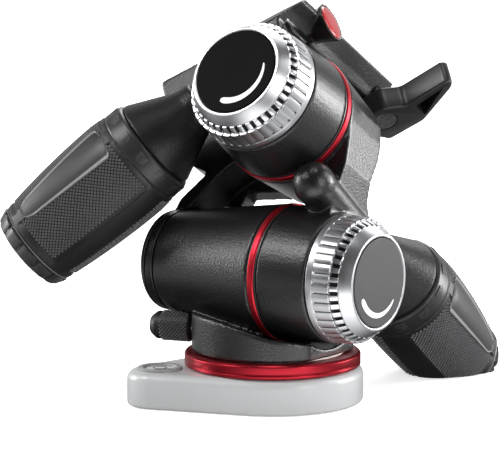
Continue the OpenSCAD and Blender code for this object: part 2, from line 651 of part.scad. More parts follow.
sleeve_back = upper_ring_u + sleeve_s0;
sleeve_front = upper_ring_u + sleeve_s1 - 0.4;

module head_casting() color([0.13, 0.13, 0.14]) difference() {
    union() {
        rolled() head_body();
        upper_axis() sleeve_solid();
        upper_handle() boss_solid(neck_s - gap, upper_boss_l);
        rolled() translate([plat_x1 - 5, badge_y, badge_z]) rotate([0, 90, 0])
            cylinder(r1 = badge_r - 2, r2 = badge_r + 0.9, h = 8.2);
    }
    upper_axis() {
        difference() {
            translate([0, 0, sleeve_s0 + cup_floor]) cylinder(r = sleeve_r - cup_wall, h = sleeve_l + 3);
            translate([0, 0, sleeve_s0]) cylinder(r = hub_r, h = sleeve_l);
            head_boss_in_sleeve();
        }
        translate([0, 0, sleeve_s0 - 1]) cylinder(r = bush_ro, h = sleeve_l + 2);
        translate([0, 0, sleeve_s1]) cylinder(r = knob_r + 0.6, h = 30);
        translate([0, 0, sleeve_s0 - 40]) cylinder(r = ring_r + 0.6, h = 40);
    }
    upper_handle() boss_bore();
    rolled() {
        along_y(plat_y0 + rim_t, plat_y1 + 1) slot_profile(0);
        translate([pivot_x, pivot_y - 5, plat_z - 5]) cylinder(r = pin_r, h = floor_t + 5);
        // seat of the badge
        translate([plat_x1 + 2, badge_y, badge_z]) rotate([0, 90, 0]) cylinder(r = badge_r + 0.1, h = 5);
    }
}

module head_boss_in_sleeve() rotate([-90, 0, 0]) translate([0, upper_ring_u, 0])
    rotate([0, -roll_deg - upper_droop, 0]) translate([0, -upper_ring_u - upper_boss_s, handle_off])
    rotate([0, -90, 0]) boss_solid(neck_s - gap, upper_boss_l);

module badge() color([0.75, 0.08, 0.1]) rolled() translate([plat_x1 + 2, badge_y, badge_z])
    rotate([0, 90, 0]) rotate_extrude() polygon([[0, 0], [badge_r, 0], [badge_r, 0.9],
        [badge_r - 0.7, 1.3], [0, 1.6]]);

module roll_bush() color([0.7, 0.55, 0.3]) upper_axis() bush_shape();

module roll_lock_shoe() color([0.75, 0.6, 0.3]) upper_handle() translate([0, 0, shoe_z])
    cylinder(r = rod_r, h = shoe_l);

module lever_pin() color([0.7, 0.7, 0.72]) rolled() translate([pivot_x, pivot_y - 5, lever_z0 + 0.1]) {
    cylinder(r = pin_r, h = plat_z1 - lever_z0 - 0.1);
    cylinder(r = 4.5, h = 1.2);
}

module lever_spring() color([0.6, 0.6, 0.62]) rolled() translate([pivot_x, pivot_y - 5, lever_z0 + 1.5])
    ring_of(4.4, pin_r + 0.6, 2.4);

module release_lever() color([0.12, 0.12, 0.13]) rolled() difference() {
    translate([0, 0, lever_z0]) linear_extrude(lever_t) difference() {
        offset(r = 1) offset(delta = -1) polygon([[pivot_x - 7, pivot_y - 11.5], [pivot_x - 7, pivot_y + 1],
            [pivot_x - 4, pivot_y + 6.5], [pivot_x + lever_l*0.36, pivot_y + 5.5],
            [pivot_x + lever_l - 2.5, pivot_y - 4.5], [pivot_x + lever_l - 0.5, pivot_y - 7.5],
            [pivot_x + lever_l - 2.5, pivot_y - 9.5], [pivot_x + lever_l*0.33, pivot_y - 7.5],
            [pivot_x + 4, pivot_y - 12]]);
    }
    translate([pivot_x, pivot_y - 5, lever_z0 - 1]) cylinder(r = pin_r + fit, h = 30);
    translate([pivot_x, pivot_y - 5, lever_z0 - 1]) cylinder(r = 4.8, h = 5);
    translate([0, 0, lever_z0 - 1]) linear_extrude(5.5) polygon([
        [pivot_x + lever_l*0.42, pivot_y + 2.4], [pivot_x + lever_l*0.42, pivot_y - 5],
        [pivot_x + lever_l - 5, pivot_y - 7]]);
}

module camera_plate() color([0.1, 0.1, 0.11]) rolled() difference() {
    along_y(plat_y0 + rim_t + gap, plat_y1) intersection() {
        slot_profile(gap);
        translate([wall_x1, cam_z0]) square([wall_x0 - wall_x1, cam_plate_t]);
    }
    translate([cam_x, cam_y, cam_z0 - 1]) cylinder(r = cam_head_r + 0.6, h = 5);
    translate([cam_x, cam_y, cam_z0 - 1]) cylinder(r = cam_screw_r + fit, h = 12);
}

module plate_pad() color([0.2, 0.18, 0.16]) rolled() difference() {
    translate([wall_x1 + dove + 2, plat_y0 + rim_t + 2, cam_z1])
        cube([wall_x0 - wall_x1 - 2*dove - 4, plat_y1 - plat_y0 - rim_t - 4, pad_t]);
    translate([cam_x, cam_y, cam_z1 - 1]) cylinder(r = cam_screw_r + 1, h = 5);
}

module camera_screw() color([0.75, 0.75, 0.77]) rolled() translate([cam_x, cam_y, 0]) difference() {
    union() {
        translate([0, 0, cam_z0 + 0.3]) cylinder(r = cam_head_r, h = 3);
        translate([0, 0, cam_z0 + 0.3]) cylinder(r = cam_screw_r - neck_in, h = cam_plate_t + pad_t - 0.1);
        translate([0, 0, cam_z1 + pad_t + 0.2]) cylinder(r = cam_screw_r, h = cam_screw_up - 0.2);
    }
    translate([0, 0, cam_z0]) difference() {
        cylinder(r = 8.2, h = 1.9);
        cylinder(r = 5.2, h = 2);
    }
}

module screw_ring() color([0.8, 0.8, 0.82]) rolled() translate([cam_x, cam_y, cam_z0 + 0.4])
    ring_of(7.6, 5.8, 1.5);

base_plate();
level_bezel();
level_vial();
base_disc();
base_screws();
tripod_bush();
pan_bolt();
thrust_washer();
pan_housing();
pan_bush();
pan_nut();
pan_lock_pad();
tilt_spindle();
tilt_ring();
pan_knob_grip();
pan_knob_screw();
tilt_yoke();
tilt_end_cap();
end_cap_screws();
rear_cap();
roll_spindle();
roll_ring();
tilt_bushes();
tilt_lock_shoe();
tilt_knob();
tilt_dial();
tilt_nut();
tilt_spring_washers();
tilt_neck();
tilt_lock_rod();
tilt_collar();
tilt_grip_core();
tilt_grip_rubber();
tilt_grip_panel();
tilt_grip_end();
head_casting();
badge();
roll_bush();
roll_lock_shoe();
lever_pin();
lever_spring();
roll_knob();
roll_dial();
roll_nut();
roll_spring_washers();
roll_neck();
roll_lock_rod();
roll_collar();
roll_grip_core();
roll_grip_rubber();
roll_grip_panel();
roll_grip_end();
release_lever();
camera_plate();
plate_pad();
camera_screw();
screw_ring();
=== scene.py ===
# Looks of a three way pan and tilt head, in metres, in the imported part's frame.
import math

import bpy
import bmesh
from mathutils import Matrix, Vector


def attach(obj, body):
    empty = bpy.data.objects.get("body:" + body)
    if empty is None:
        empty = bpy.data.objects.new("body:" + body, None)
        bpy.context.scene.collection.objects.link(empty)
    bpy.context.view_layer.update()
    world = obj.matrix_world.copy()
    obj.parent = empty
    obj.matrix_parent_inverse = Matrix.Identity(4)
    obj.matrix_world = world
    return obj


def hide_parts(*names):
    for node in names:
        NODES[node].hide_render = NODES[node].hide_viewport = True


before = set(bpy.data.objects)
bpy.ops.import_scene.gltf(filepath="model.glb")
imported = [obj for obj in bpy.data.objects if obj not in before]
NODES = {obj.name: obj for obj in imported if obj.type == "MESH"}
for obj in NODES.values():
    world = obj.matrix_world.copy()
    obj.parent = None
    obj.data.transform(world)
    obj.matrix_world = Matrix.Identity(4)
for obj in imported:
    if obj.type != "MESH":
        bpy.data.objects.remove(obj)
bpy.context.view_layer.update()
MM = 0.001

# ---------------------------------------------------------------- sizes of the part, in millimetres
TILT, ROLL = 30.4, 33.0
PLATE_D, PLATE_H = 61.8, 12.0
LOBE_R, LOBE_DEG, LOBE_D = 39.1, -131.6, 22.2
DISC_D, DISC_H = 60.0, 5.0
PAN_KNOB_DEG, PAN_KNOB_D, PAN_REACH, PAN_D = 195.0, 10.6, 44.5, 55.0
AXIS_Z = PLATE_H + 32.1
RING_R, RING_W, RING_X = 23.6, 3.6, 5.4
PAN_FLAT_X, CRADLE_R, BORE_R, SPINDLE_R, BOLT_R = 24.3, RING_R + 0.5, 13.4, 6, 4.0
# slopes of the pan wall's top, tangent to the barrel
RISE_FRONT, RISE_REAR, TAPER_REAR = 0.215, 0.335, 0.19
BARREL_L, SLEEVE_L = 37.9, 18.2
SEAM_X, SEAM_R, CAP_L, HUB_L = -38.3, 17.5, 6.7, 3.6
AXES_GAP, UPPER_U, REAR_L, REAR_R = 49.2, 16.0, 31.0, 19.3
KNOB_R, KNOB_FRONT_R, DIAL_R, RIB_N = 21.7, 18.6, 14.9, 40
HANDLE_OFF, LOWER_BOSS, UPPER_BOSS = 21.8, 15.0, 11.0
LOWER_DROOP, UPPER_DROOP = 38.7, 15.7
LOWER_NECK, UPPER_NECK, NECK_S = 38.6, 42.6, 20.0
COLLAR_R, COLLAR_L, GRIP_R, GRIP_END_R, GRIP_L, GRIP_CAP_L, GRIP_PEAK = 17.6, 7.0, 18.9, 16.1, 53.0, 6.4, 13.0
PLAT_L, PLAT_X1, PLAT_FRONT, PLAT_Z = 62.0, 20.0, 24.0, 26.6
LEVER_L, LEVER_T = 30.0, 9.5
GAP = 0.3
KNOB_S0, KNOB_S1 = RING_W + GAP + SLEEVE_L + GAP, BARREL_L
PAN_Z = PLATE_H + DISC_H + 0.4
PAN_KNOB_Z = PAN_Z + PAN_KNOB_D / 2 + 0.3
PIVOT_X, PIVOT_Y = PLAT_X1 - 5, -PLAT_FRONT + PLAT_L - 1


def move(x, y, z):
    return Matrix.Translation((x, y, z))


def turn(deg, axis):
    return Matrix.Rotation(math.radians(deg), 4, axis)


LOWER_AXIS = move(RING_X, 0, AXIS_Z) @ turn(90, "Y")
TILTED = move(0, 0, AXIS_Z) @ turn(-TILT, "X")
AT_UPPER = TILTED @ move(0, 0, AXES_GAP)
UPPER_AXIS = AT_UPPER @ move(0, -UPPER_U, 0) @ turn(90, "X")
ROLLED = AT_UPPER @ turn(-ROLL, "Y")
LOWER_HANDLE = (move(RING_X + LOWER_BOSS, 0, AXIS_Z) @ turn(-LOWER_DROOP, "X")
                @ move(0, 0, HANDLE_OFF) @ turn(-90, "X"))
UPPER_HANDLE = (ROLLED @ turn(-UPPER_DROOP, "Y") @ move(0, -UPPER_U - UPPER_BOSS, HANDLE_OFF)
                @ turn(-90, "Y"))
PAN_KNOB = turn(PAN_KNOB_DEG, "Z") @ move(PAN_D / 2 + 1.3, 0, PAN_KNOB_Z) @ turn(90, "Y")
LOBE = move(LOBE_R * math.cos(math.radians(LOBE_DEG)), LOBE_R * math.sin(math.radians(LOBE_DEG)), 0)


# ---------------------------------------------------------------- camera, floor and lights
BEHIND, TO_RIGHT = (-0.58, 0.81, 0), (0.81, 0.58, 0)      # level directions as the camera sees them
LAMPS_AIM = (0, 0, 0.07)


def set_camera():
    azimuth, elevation, distance = math.radians(35.6954), math.radians(8.2951), 1.0
    middle, shift_right, shift_up = Vector((0, 0, 0.0625)), -0.0076826, -0.00385
    right = Vector((math.cos(azimuth), math.sin(azimuth), 0))
    back = Vector((math.sin(azimuth) * math.cos(elevation), -math.cos(azimuth) * math.cos(elevation),
                   math.sin(elevation)))
    up = back.cross(right)
    data = bpy.data.cameras.new("photo_camera")
    data.lens, data.sensor_width, data.clip_start = 212.8, 36, 0.05
    cam = link(data, "photo_camera")
    place = middle + right * shift_right + up * shift_up + back * distance
    cam.matrix_world = Matrix.Translation(place) @ Matrix((right, up, back)).transposed().to_4x4()
    bpy.context.scene.camera = cam


def soft_light(name, place, size, watts):
    data = bpy.data.lights.new(name, "AREA")
    data.shape, data.size, data.size_y, data.energy = "RECTANGLE", size[0], size[1], watts
    lamp = link(data, name)
    lamp.location = place
    lamp.rotation_euler = (Vector(LAMPS_AIM) - lamp.location).to_track_quat("-Z", "Y").to_euler()


def set_world():
    """White to the camera, a soft grey fill, and to reflections dark but for a white backdrop behind."""
    world = bpy.data.worlds.new("studio")
    bpy.context.scene.world = world
    world.use_nodes = True
    nt = world.node_tree
    nt.nodes.clear()
    out = nt.nodes.new("ShaderNodeOutputWorld")
    path = nt.nodes.new("ShaderNodeLightPath").outputs
    coord = nt.nodes.new("ShaderNodeTexCoord").outputs["Generated"]
    backdrop = map_range(nt, vector_math(nt, "DOT_PRODUCT", coord, BEHIND), 0.02, 0.8, 0.2, 0.95)
    seen = math_node(nt, "MAXIMUM", path["Is Camera Ray"], path["Is Transmission Ray"])
    fill = math_node(nt, "MULTIPLY", path["Is Diffuse Ray"], 0.6)
    mirrored = math_node(nt, "MULTIPLY", path["Is Glossy Ray"], backdrop)
    glow = nt.nodes.new("ShaderNodeBackground")
    strength = math_node(nt, "ADD", seen, math_node(nt, "ADD", fill, mirrored))
    nt.links.new(strength, glow.inputs["Strength"])
    nt.links.new(glow.outputs[0], out.inputs["Surface"])


def set_floor():
    bm = bmesh.new()
    bmesh.ops.create_grid(bm, x_segments=2, y_segments=2, size=3.0)
    mat = bpy.data.materials.new("pale_floor")
    mat.use_nodes = True
    floor = link(to_mesh(bm, "studio_floor"), "studio_floor", mat)
    floor.location = (0, 0, -0.0002)
    nt = mat.node_tree
    shade = nt.nodes["Principled BSDF"]
    shade.inputs["Base Color"].default_value = (0.86, 0.86, 0.86, 1)
    shade.inputs["Roughness"].default_value = 0.9
    path = nt.nodes.new("ShaderNodeLightPath").outputs
    coord = nt.nodes.new("ShaderNodeTexCoord").outputs["Object"]

    def away(centre, near, far, low, high):
        return map_range(nt, vector_math(nt, "DISTANCE", coord, centre), low, high, near, far, True)

    # as the camera sees it: whiter further out
    seen = math_node(nt, "MULTIPLY", away((0, 0, 0), 0.2, 0.8, 0.5, 1.2), path["Is Camera Ray"])
    # as reflections see it: lit close in front, white behind and at both sides, dark where the camera stands
    front = away((0.10, -0.09, 0), 0.04, 0.14, 3.0, 0.03)
    behind = map_range(nt, vector_math(nt, "DOT_PRODUCT", coord, BEHIND), 0.0, 1.0, 0.0, 0.22, True)
    beside = math_node(nt, "ABSOLUTE", vector_math(nt, "DOT_PRODUCT", coord, TO_RIGHT))
    beside = map_range(nt, beside, 0.0, 0.9, 0.07, 0.2, True)
    lit = math_node(nt, "MAXIMUM", math_node(nt, "MAXIMUM", front, behind), beside)
    glow, table = nt.nodes.new("ShaderNodeEmission"), nt.nodes.new("ShaderNodeEmission")
    add, mix = nt.nodes.new("ShaderNodeAddShader"), nt.nodes.new("ShaderNodeMixShader")
    nt.links.new(seen, glow.inputs["Strength"])
    nt.links.new(lit, table.inputs["Strength"])
    nt.links.new(shade.outputs[0], add.inputs[0])
    nt.links.new(glow.outputs[0], add.inputs[1])
    for i, source in enumerate((path["Is Glossy Ray"], add.outputs[0], table.outputs[0])):
        nt.links.new(source, mix.inputs[i])
    nt.links.new(mix.outputs[0], nt.nodes["Material Output"].inputs["Surface"])


# ---------------------------------------------------------------- shader groups
def new_group(name, inputs, outputs):
    group = bpy.data.node_groups.new(name, "ShaderNodeTree")
    for label, kind, value in inputs:
        socket = group.interface.new_socket(label, in_out="INPUT", socket_type=kind)
        if value is not None:
            socket.default_value = value
    for label, kind in outputs:
        group.interface.new_socket(label, in_out="OUTPUT", socket_type=kind)
    return group, group.nodes.new("NodeGroupInput"), group.nodes.new("NodeGroupOutput")


def math_node(nt, op, a, b=None, clamp=False):
    node = nt.nodes.new("ShaderNodeMath")
    node.operation, node.use_clamp = op, clamp
    for i, value in enumerate((a, b)):
        if isinstance(value, (int, float)):
            node.inputs[i].default_value = value
        elif value is not None:
            nt.links.new(value, node.inputs[i])
    return node.outputs[0]


def noise(nt, scale, detail, vector, rough=0.5):
    node = nt.nodes.new("ShaderNodeTexNoise")
    for key, value in (("Scale", scale), ("Detail", detail), ("Roughness", rough)):
        if isinstance(value, (int, float)):
            node.inputs[key].default_value = value
        else:
            nt.links.new(value, node.inputs[key])
    nt.links.new(vector, node.inputs["Vector"])
    return node.outputs["Fac"]


def make_grain_group():
    """Fine cast or moulded grain: a height, and a slow colour variation."""
    group, gin, gout = new_group("surface_grain", [
        ("Grain Scale", "NodeSocketFloat", 2600.0), ("Patch Scale", "NodeSocketFloat", 60.0)],
        [("Height", "NodeSocketFloat"), ("Patches", "NodeSocketFloat")])
    coord = group.nodes.new("ShaderNodeTexCoord").outputs["Object"]
    fine = noise(group, gin.outputs["Grain Scale"], 2.0, coord, 0.6)
    slow = noise(group, gin.outputs["Patch Scale"], 4.0, coord)
    group.links.new(fine, gout.inputs["Height"])
    group.links.new(slow, gout.inputs["Patches"])
    return group


def make_edge_wear_and_highlight_group():
    """Lighter edges, broken up by noise: rubbed wear on most finishes, a painted highlight on the camera
    plate's edges.
    """
    group, gin, gout = new_group("worn_and_highlit_edges", [
        ("Amount", "NodeSocketFloat", 0.4), ("Breakup", "NodeSocketFloat", 900.0)],
        [("Mask", "NodeSocketFloat")])
    edge_from, edge_gain, broken_from, broken_gain = 0.53, 16.0, 0.35, 2.4
    coord = group.nodes.new("ShaderNodeTexCoord").outputs["Object"]
    geo = group.nodes.new("ShaderNodeNewGeometry")
    edge = math_node(group, "SUBTRACT", geo.outputs["Pointiness"], edge_from)
    edge = math_node(group, "MULTIPLY", edge, edge_gain, True)
    broken = math_node(group, "SUBTRACT", noise(group, gin.outputs["Breakup"], 3.0, coord), broken_from)
    broken = math_node(group, "MULTIPLY", broken, broken_gain, True)
    mask = math_node(group, "MULTIPLY", edge, broken)
    mask = math_node(group, "MULTIPLY", mask, gin.outputs["Amount"], True)
    group.links.new(mask, gout.inputs["Mask"])
    return group


def make_turning_group():
    """Fine turned lines round an axis: the rings of a lathe, as a height and a mask."""
    group, gin, gout = new_group("turned_lines", [
        ("Vector", "NodeSocketVector", None), ("Line Scale", "NodeSocketFloat", 3000.0)],
        [("Height", "NodeSocketFloat"), ("Streaks", "NodeSocketFloat")])
    split = group.nodes.new("ShaderNodeSeparateXYZ")
    group.links.new(gin.outputs["Vector"], split.inputs[0])
    rr = math_node(group, "ADD", math_node(group, "MULTIPLY", split.outputs[0], split.outputs[0]),
                   math_node(group, "MULTIPLY", split.outputs[1], split.outputs[1]))
    radius = math_node(group, "SQRT", rr)
    around = group.nodes.new("ShaderNodeCombineXYZ")          # the same all the way round the axis
    group.links.new(radius, around.inputs[0])
    group.links.new(split.outputs[2], around.inputs[1])
    lines = noise(group, gin.outputs["Line Scale"], 2.0, around.outputs[0])
    group.links.new(lines, gout.inputs["Height"])
    group.links.new(noise(group, 260.0, 3.0, around.outputs[0]), gout.inputs["Streaks"])
    return group


GRAIN, EDGE_WEAR_AND_HIGHLIGHT, TURNED = make_grain_group(), make_edge_wear_and_highlight_group(), make_turning_group()


def use_group(nt, group, **values):
    node = nt.nodes.new("ShaderNodeGroup")
    node.node_tree = group
    for key, value in values.items():
        node.inputs[key.replace("_", " ")].default_value = value
    return node


def blend_colour(nt, fac, a, b):
    node = nt.nodes.new("ShaderNodeMix")
    node.data_type = "RGBA"
    nt.links.new(fac, node.inputs["Factor"])
    for socket, value in (("A", a), ("B", b)):
        target = [s for s in node.inputs if s.name == socket and s.type == "RGBA"][0]
        if isinstance(value, tuple):
            target.default_value = (*value, 1)
        else:
            nt.links.new(value, target)
    return [s for s in node.outputs if s.type == "RGBA"][0]


def map_range(nt, value, low, high, near=0.0, far=1.0, smooth=False):
    """Takes near..far to low..high."""
    node = nt.nodes.new("ShaderNodeMapRange")
    node.interpolation_type = "SMOOTHSTEP" if smooth else "LINEAR"
    for key, number in (("From Min", near), ("From Max", far), ("To Min", low), ("To Max", high)):
        node.inputs[key].default_value = number
    nt.links.new(value, node.inputs["Value"])
    return node.outputs["Result"]


def vector_math(nt, op, vector, other):
    node = nt.nodes.new("ShaderNodeVectorMath")
    node.operation = op
    node.inputs[1].default_value = other
    nt.links.new(vector, node.inputs[0])
    return node.outputs["Value"]


def bump(nt, height, distance, strength=1.0):
    node = nt.nodes.new("ShaderNodeBump")
    node.inputs["Strength"].default_value = strength
    node.inputs["Distance"].default_value = distance
    nt.links.new(height, node.inputs["Height"])
    return node.outputs["Normal"]


def new_material(name):
    mat = bpy.data.materials.new(name)
    mat.use_nodes = True
    return mat, mat.node_tree, mat.node_tree.nodes["Principled BSDF"].inputs


def finish_material(name, dark, light, rough, grain=2600.0, depth=0.00004, edge_wear_and_highlight=0.0, edge_wear_and_highlight_colour=None,
                    coat=0.0, ior=1.5, patch=60.0):
    """A surface with grain, slow colour variation and lighter edges: rubbed wear, and on the camera plate a
    painted highlight.
    """
    mat, nt, shade = new_material(name)
    g = use_group(nt, GRAIN, Grain_Scale=grain, Patch_Scale=patch)
    colour = blend_colour(nt, g.outputs["Patches"], dark, light)
    roughness = map_range(nt, g.outputs["Patches"], rough - 0.06, rough + 0.08)
    if edge_wear_and_highlight:
        w = use_group(nt, EDGE_WEAR_AND_HIGHLIGHT, Amount=edge_wear_and_highlight)
        colour = blend_colour(nt, w.outputs["Mask"], colour, edge_wear_and_highlight_colour)
    nt.links.new(colour, shade["Base Color"])
    nt.links.new(roughness, shade["Roughness"])
    nt.links.new(bump(nt, g.outputs["Height"], depth), shade["Normal"])
    shade["IOR"].default_value = ior
    shade["Coat Weight"].default_value = coat
    shade["Coat Roughness"].default_value = 0.2
    return mat


def turned_material(name, dark, light, rough, frame_m=None, metallic=1.0, aniso=0.0):
    """Machined metal with lathe lines round the axis of frame_m."""
    mat, nt, shade = new_material(name)
    coord = nt.nodes.new("ShaderNodeTexCoord").outputs["Object"]
    mapping = nt.nodes.new("ShaderNodeMapping")
    mapping.vector_type = "POINT"
    inv = (frame_m or Matrix.Identity(4)).inverted()
    mapping.inputs["Location"].default_value = inv.translation * MM
    mapping.inputs["Rotation"].default_value = inv.to_euler()
    nt.links.new(coord, mapping.inputs["Vector"])
    t = use_group(nt, TURNED, Line_Scale=2600.0)
    nt.links.new(mapping.outputs[0], t.inputs["Vector"])
    nt.links.new(blend_colour(nt, t.outputs["Streaks"], dark, light), shade["Base Color"])
    nt.links.new(map_range(nt, t.outputs["Streaks"], rough - 0.07, rough + 0.09), shade["Roughness"])
    nt.links.new(bump(nt, t.outputs["Height"], 0.00001, 0.7), shade["Normal"])
    shade["Metallic"].default_value = metallic
    shade["Anisotropic"].default_value = aniso
    return mat


def vial_material():
    mat, nt, shade = new_material("vial_glass")
    g = use_group(nt, GRAIN, Grain_Scale=900.0, Patch_Scale=120.0)
    colour = blend_colour(nt, g.outputs["Patches"], (0.26, 0.28, 0.25), (0.32, 0.34, 0.31))
    nt.links.new(colour, shade["Base Color"])
    nt.links.new(map_range(nt, g.outputs["Patches"], 0.05, 0.12), shade["Roughness"])
    shade["Coat Weight"].default_value = 1.0
    return mat


def grey(value, blue=None):
    """A neutral colour, or a slightly blue one."""
    return value, value, value if blue is None else blue


# ---------------------------------------------------------------- finishes
RED = (0.38, 0.010, 0.022), (0.50, 0.018, 0.032)
SILVER = (0.42, 0.425, 0.44), (0.56, 0.565, 0.58)
black_casting = finish_material("black_powder_coat", grey(0.004, 0.0045), grey(0.009, 0.0095), 0.31,
                                grain=1500, depth=0.00012, edge_wear_and_highlight=0.25, edge_wear_and_highlight_colour=grey(0.05, 0.053), ior=1.52)
neck_black = finish_material("coarse_powder_coat", grey(0.005, 0.0055), grey(0.011, 0.0115), 0.36,
                             grain=1300, depth=0.00017, edge_wear_and_highlight=0.2, edge_wear_and_highlight_colour=grey(0.06), ior=1.38)
satin_black = finish_material("satin_black", grey(0.010, 0.011), grey(0.018, 0.019), 0.33,
                              grain=4200, depth=0.00002, edge_wear_and_highlight=0.5, edge_wear_and_highlight_colour=grey(0.16, 0.165))
moulded_black = finish_material("moulded_black", grey(0.012, 0.013), grey(0.022, 0.024), 0.38,
                                grain=3800, depth=0.00002, edge_wear_and_highlight=0.3, edge_wear_and_highlight_colour=grey(0.1))
grip_rubber = finish_material("grip_rubber", grey(0.006, 0.0065), grey(0.013, 0.0135), 0.48,
                              grain=3000, depth=0.00003, edge_wear_and_highlight=0.35, edge_wear_and_highlight_colour=grey(0.09, 0.095))
# the knurl's dots are the sleeve's own black rubber, painted about ten times lighter: a painted highlight on
# the dots, so that the rubber between them reads as shaded valleys
knurl_painted_highlight = finish_material("knurl_dots_painted_highlight", grey(0.075, 0.079), grey(0.125, 0.13), 0.4,
                              grain=3000, depth=0.00002, edge_wear_and_highlight=0.4, edge_wear_and_highlight_colour=grey(0.12, 0.125))
panel_smooth = finish_material("grip_panel", (0.014, 0.0145, 0.0155), (0.022, 0.0225, 0.024), 0.36,
                               grain=3800, depth=0.000015, ior=1.4)
# lighter grey edges: a painted highlight on the grip panel's raised lip and on the thin ring before the end
# cap
edge_painted_highlight = finish_material("edge_painted_highlight", grey(0.11, 0.114), grey(0.16, 0.165), 0.34,
                             grain=3800, depth=0.000015)
dial_black = finish_material("dial_black", grey(0.004, 0.0045), grey(0.007, 0.0075), 0.5,
                             grain=5200, depth=0.00002, ior=1.08)
dial_grey = finish_material("dial_grey", grey(0.04, 0.042), grey(0.06, 0.063), 0.5, ior=1.3)
white_mark = finish_material("printed_white", grey(0.72), grey(0.8), 0.5, grain=5000, depth=0.00001)
pale_plate = finish_material("pale_plate", (0.36, 0.365, 0.37), (0.42, 0.425, 0.43), 0.36,
                             grain=3600, depth=0.00001, coat=0.3, patch=30)
badge_red = finish_material("badge_red", (0.3, 0.004, 0.007), (0.38, 0.006, 0.01), 0.22,
                            grain=3000, depth=0.000004, coat=0.6)
step_black = finish_material("blackened_step", grey(0.003), grey(0.006), 0.45,
                             grain=4000, depth=0.00002, ior=1.25)
# the camera plate's edges painted light grey through the edge mask: a painted highlight along its bevels
plate_black_edge_highlight = finish_material("plate_black_edge_highlight", grey(0.010, 0.011), grey(0.018, 0.019), 0.33,
                              grain=4200, depth=0.00002, edge_wear_and_highlight=1.0, edge_wear_and_highlight_colour=grey(0.5, 0.51))
nylon_white = finish_material("natural_nylon", (0.7, 0.69, 0.64), (0.78, 0.77, 0.72), 0.5)
pad_black = finish_material("pad_rubber", grey(0.018), grey(0.03), 0.7, grain=1400, depth=0.00012)
level_grey = finish_material("level_grey", grey(0.2, 0.205), grey(0.26, 0.265), 0.4,
                             grain=3600, depth=0.00001)
vial_glass = vial_material()
red_lower = turned_material("red_anodised_lower", *RED, 0.34, LOWER_AXIS, 0.85)
red_upper = turned_material("red_anodised_upper", *RED, 0.34, UPPER_AXIS, 0.85)
red_disc = turned_material("red_anodised_disc", (0.25, 0.006, 0.014), (0.36, 0.012, 0.024), 0.3,
                           metallic=0.85)
silver_lower = turned_material("machined_silver_lower", *SILVER, 0.33, LOWER_AXIS, aniso=0.4)
silver_upper = turned_material("machined_silver_upper", *SILVER, 0.33, UPPER_AXIS, aniso=0.4)
steel = turned_material("turned_steel", grey(0.45, 0.46), grey(0.6, 0.61), 0.3)
brass = turned_material("turned_brass", (0.5, 0.36, 0.14), (0.62, 0.46, 0.2), 0.3)
bronze = turned_material("sintered_bronze", (0.3, 0.18, 0.09), (0.4, 0.25, 0.13), 0.5)


# ---------------------------------------------------------------- mesh makers
def link(data, name, mat=None, smooth=0):
    """An object of data in the scene, with a material and smooth shading when asked."""
    obj = bpy.data.objects.new(name, data)
    bpy.context.scene.collection.objects.link(obj)
    if mat:
        data.materials.append(mat)
    if smooth:
        data.shade_smooth()
        data.set_sharp_from_angle(angle=math.radians(smooth))
    return obj


def to_mesh(bm, name):
    mesh = bpy.data.meshes.new(name)
    bm.to_mesh(mesh)
    bm.free()
    return mesh


def evaluated_mesh(obj):
    """The object's mesh with its modifiers applied."""
    bpy.context.view_layer.update()
    return bpy.data.meshes.new_from_object(obj.evaluated_get(bpy.context.evaluated_depsgraph_get()))


def from_bmesh(bm, name, mat, place, smooth):
    """Closes a bmesh into an object whose place, in millimetres before, is in its mesh."""
    bmesh.ops.remove_doubles(bm, verts=bm.verts, dist=1e-4)
    bmesh.ops.recalc_face_normals(bm, faces=bm.faces)
    bmesh.ops.transform(bm, matrix=Matrix.Scale(MM, 4) @ (place or Matrix.Identity(4)), verts=bm.verts)
    return link(to_mesh(bm, name), name, mat, smooth)


def polar(r, angle, z):
    return r * math.cos(angle), r * math.sin(angle), z


def rounded(points, radius, steps=4):
    """The closed profile with its corners rounded, each by at most radius."""
    out, n = [], len(points)
    for i, p in enumerate(points):
        a, b = Vector(points[i - 1]), Vector(points[(i + 1) % n])
        c = Vector(p)
        u, v = a - c, b - c
        on_axis = abs(p[0]) < 1e-6
        if on_axis or u.length < 1e-6 or v.length < 1e-6 or abs(u.angle(v) - math.pi) < 0.05:
            out.append(p)
            continue
        cut_back = min(radius, u.length * 0.45, v.length * 0.45)
        start, end = c + u.normalized() * cut_back, c + v.normalized() * cut_back
        for k in range(steps + 1):
            t = k / steps
            q = start * (1 - t) ** 2 + c * 2 * t * (1 - t) + end * t * t
            out.append((q.x, q.y))
    return out


def lathe_bm(profile, seg, radius):
    """A closed profile of (r, z) turned round Z. radius(r, z, angle) may change r."""
    bm = bmesh.new()
    rows, angles = [], [2 * math.pi * k / seg for k in range(seg)]
    for r, z in profile:
        if abs(r) < 1e-6:
            rows.append([bm.verts.new((0, 0, z))] * seg)
        else:
            rows.append([bm.verts.new(polar(radius(r, z, a) if radius else r, a, z)) for a in angles])
    n = len(rows)
    for i in range(n):
        a, b = rows[i], rows[(i + 1) % n]
        for k in range(seg):
            q = [a[k], a[(k + 1) % seg], b[(k + 1) % seg], b[k]]
            q = [v for j, v in enumerate(q) if v not in q[:j]]
            if len(q) > 2:
                bm.faces.new(q)
    return bm


def lathe(name, profile, mat, place, soften, seg, radius=None, smooth=35):
    """A turned piece, its profile's corners rounded by soften."""
    if soften:
        profile = rounded(profile, soften)
    return from_bmesh(lathe_bm(profile, seg, radius), name, mat, place, smooth)


def plug(name, r, z0, z1, mat, place, seg=144):
    """A plain cylinder, to cut with or to add."""
    return lathe(name, [(0, z0), (r, z0), (r, z1), (0, z1)], mat, place, 0, seg)


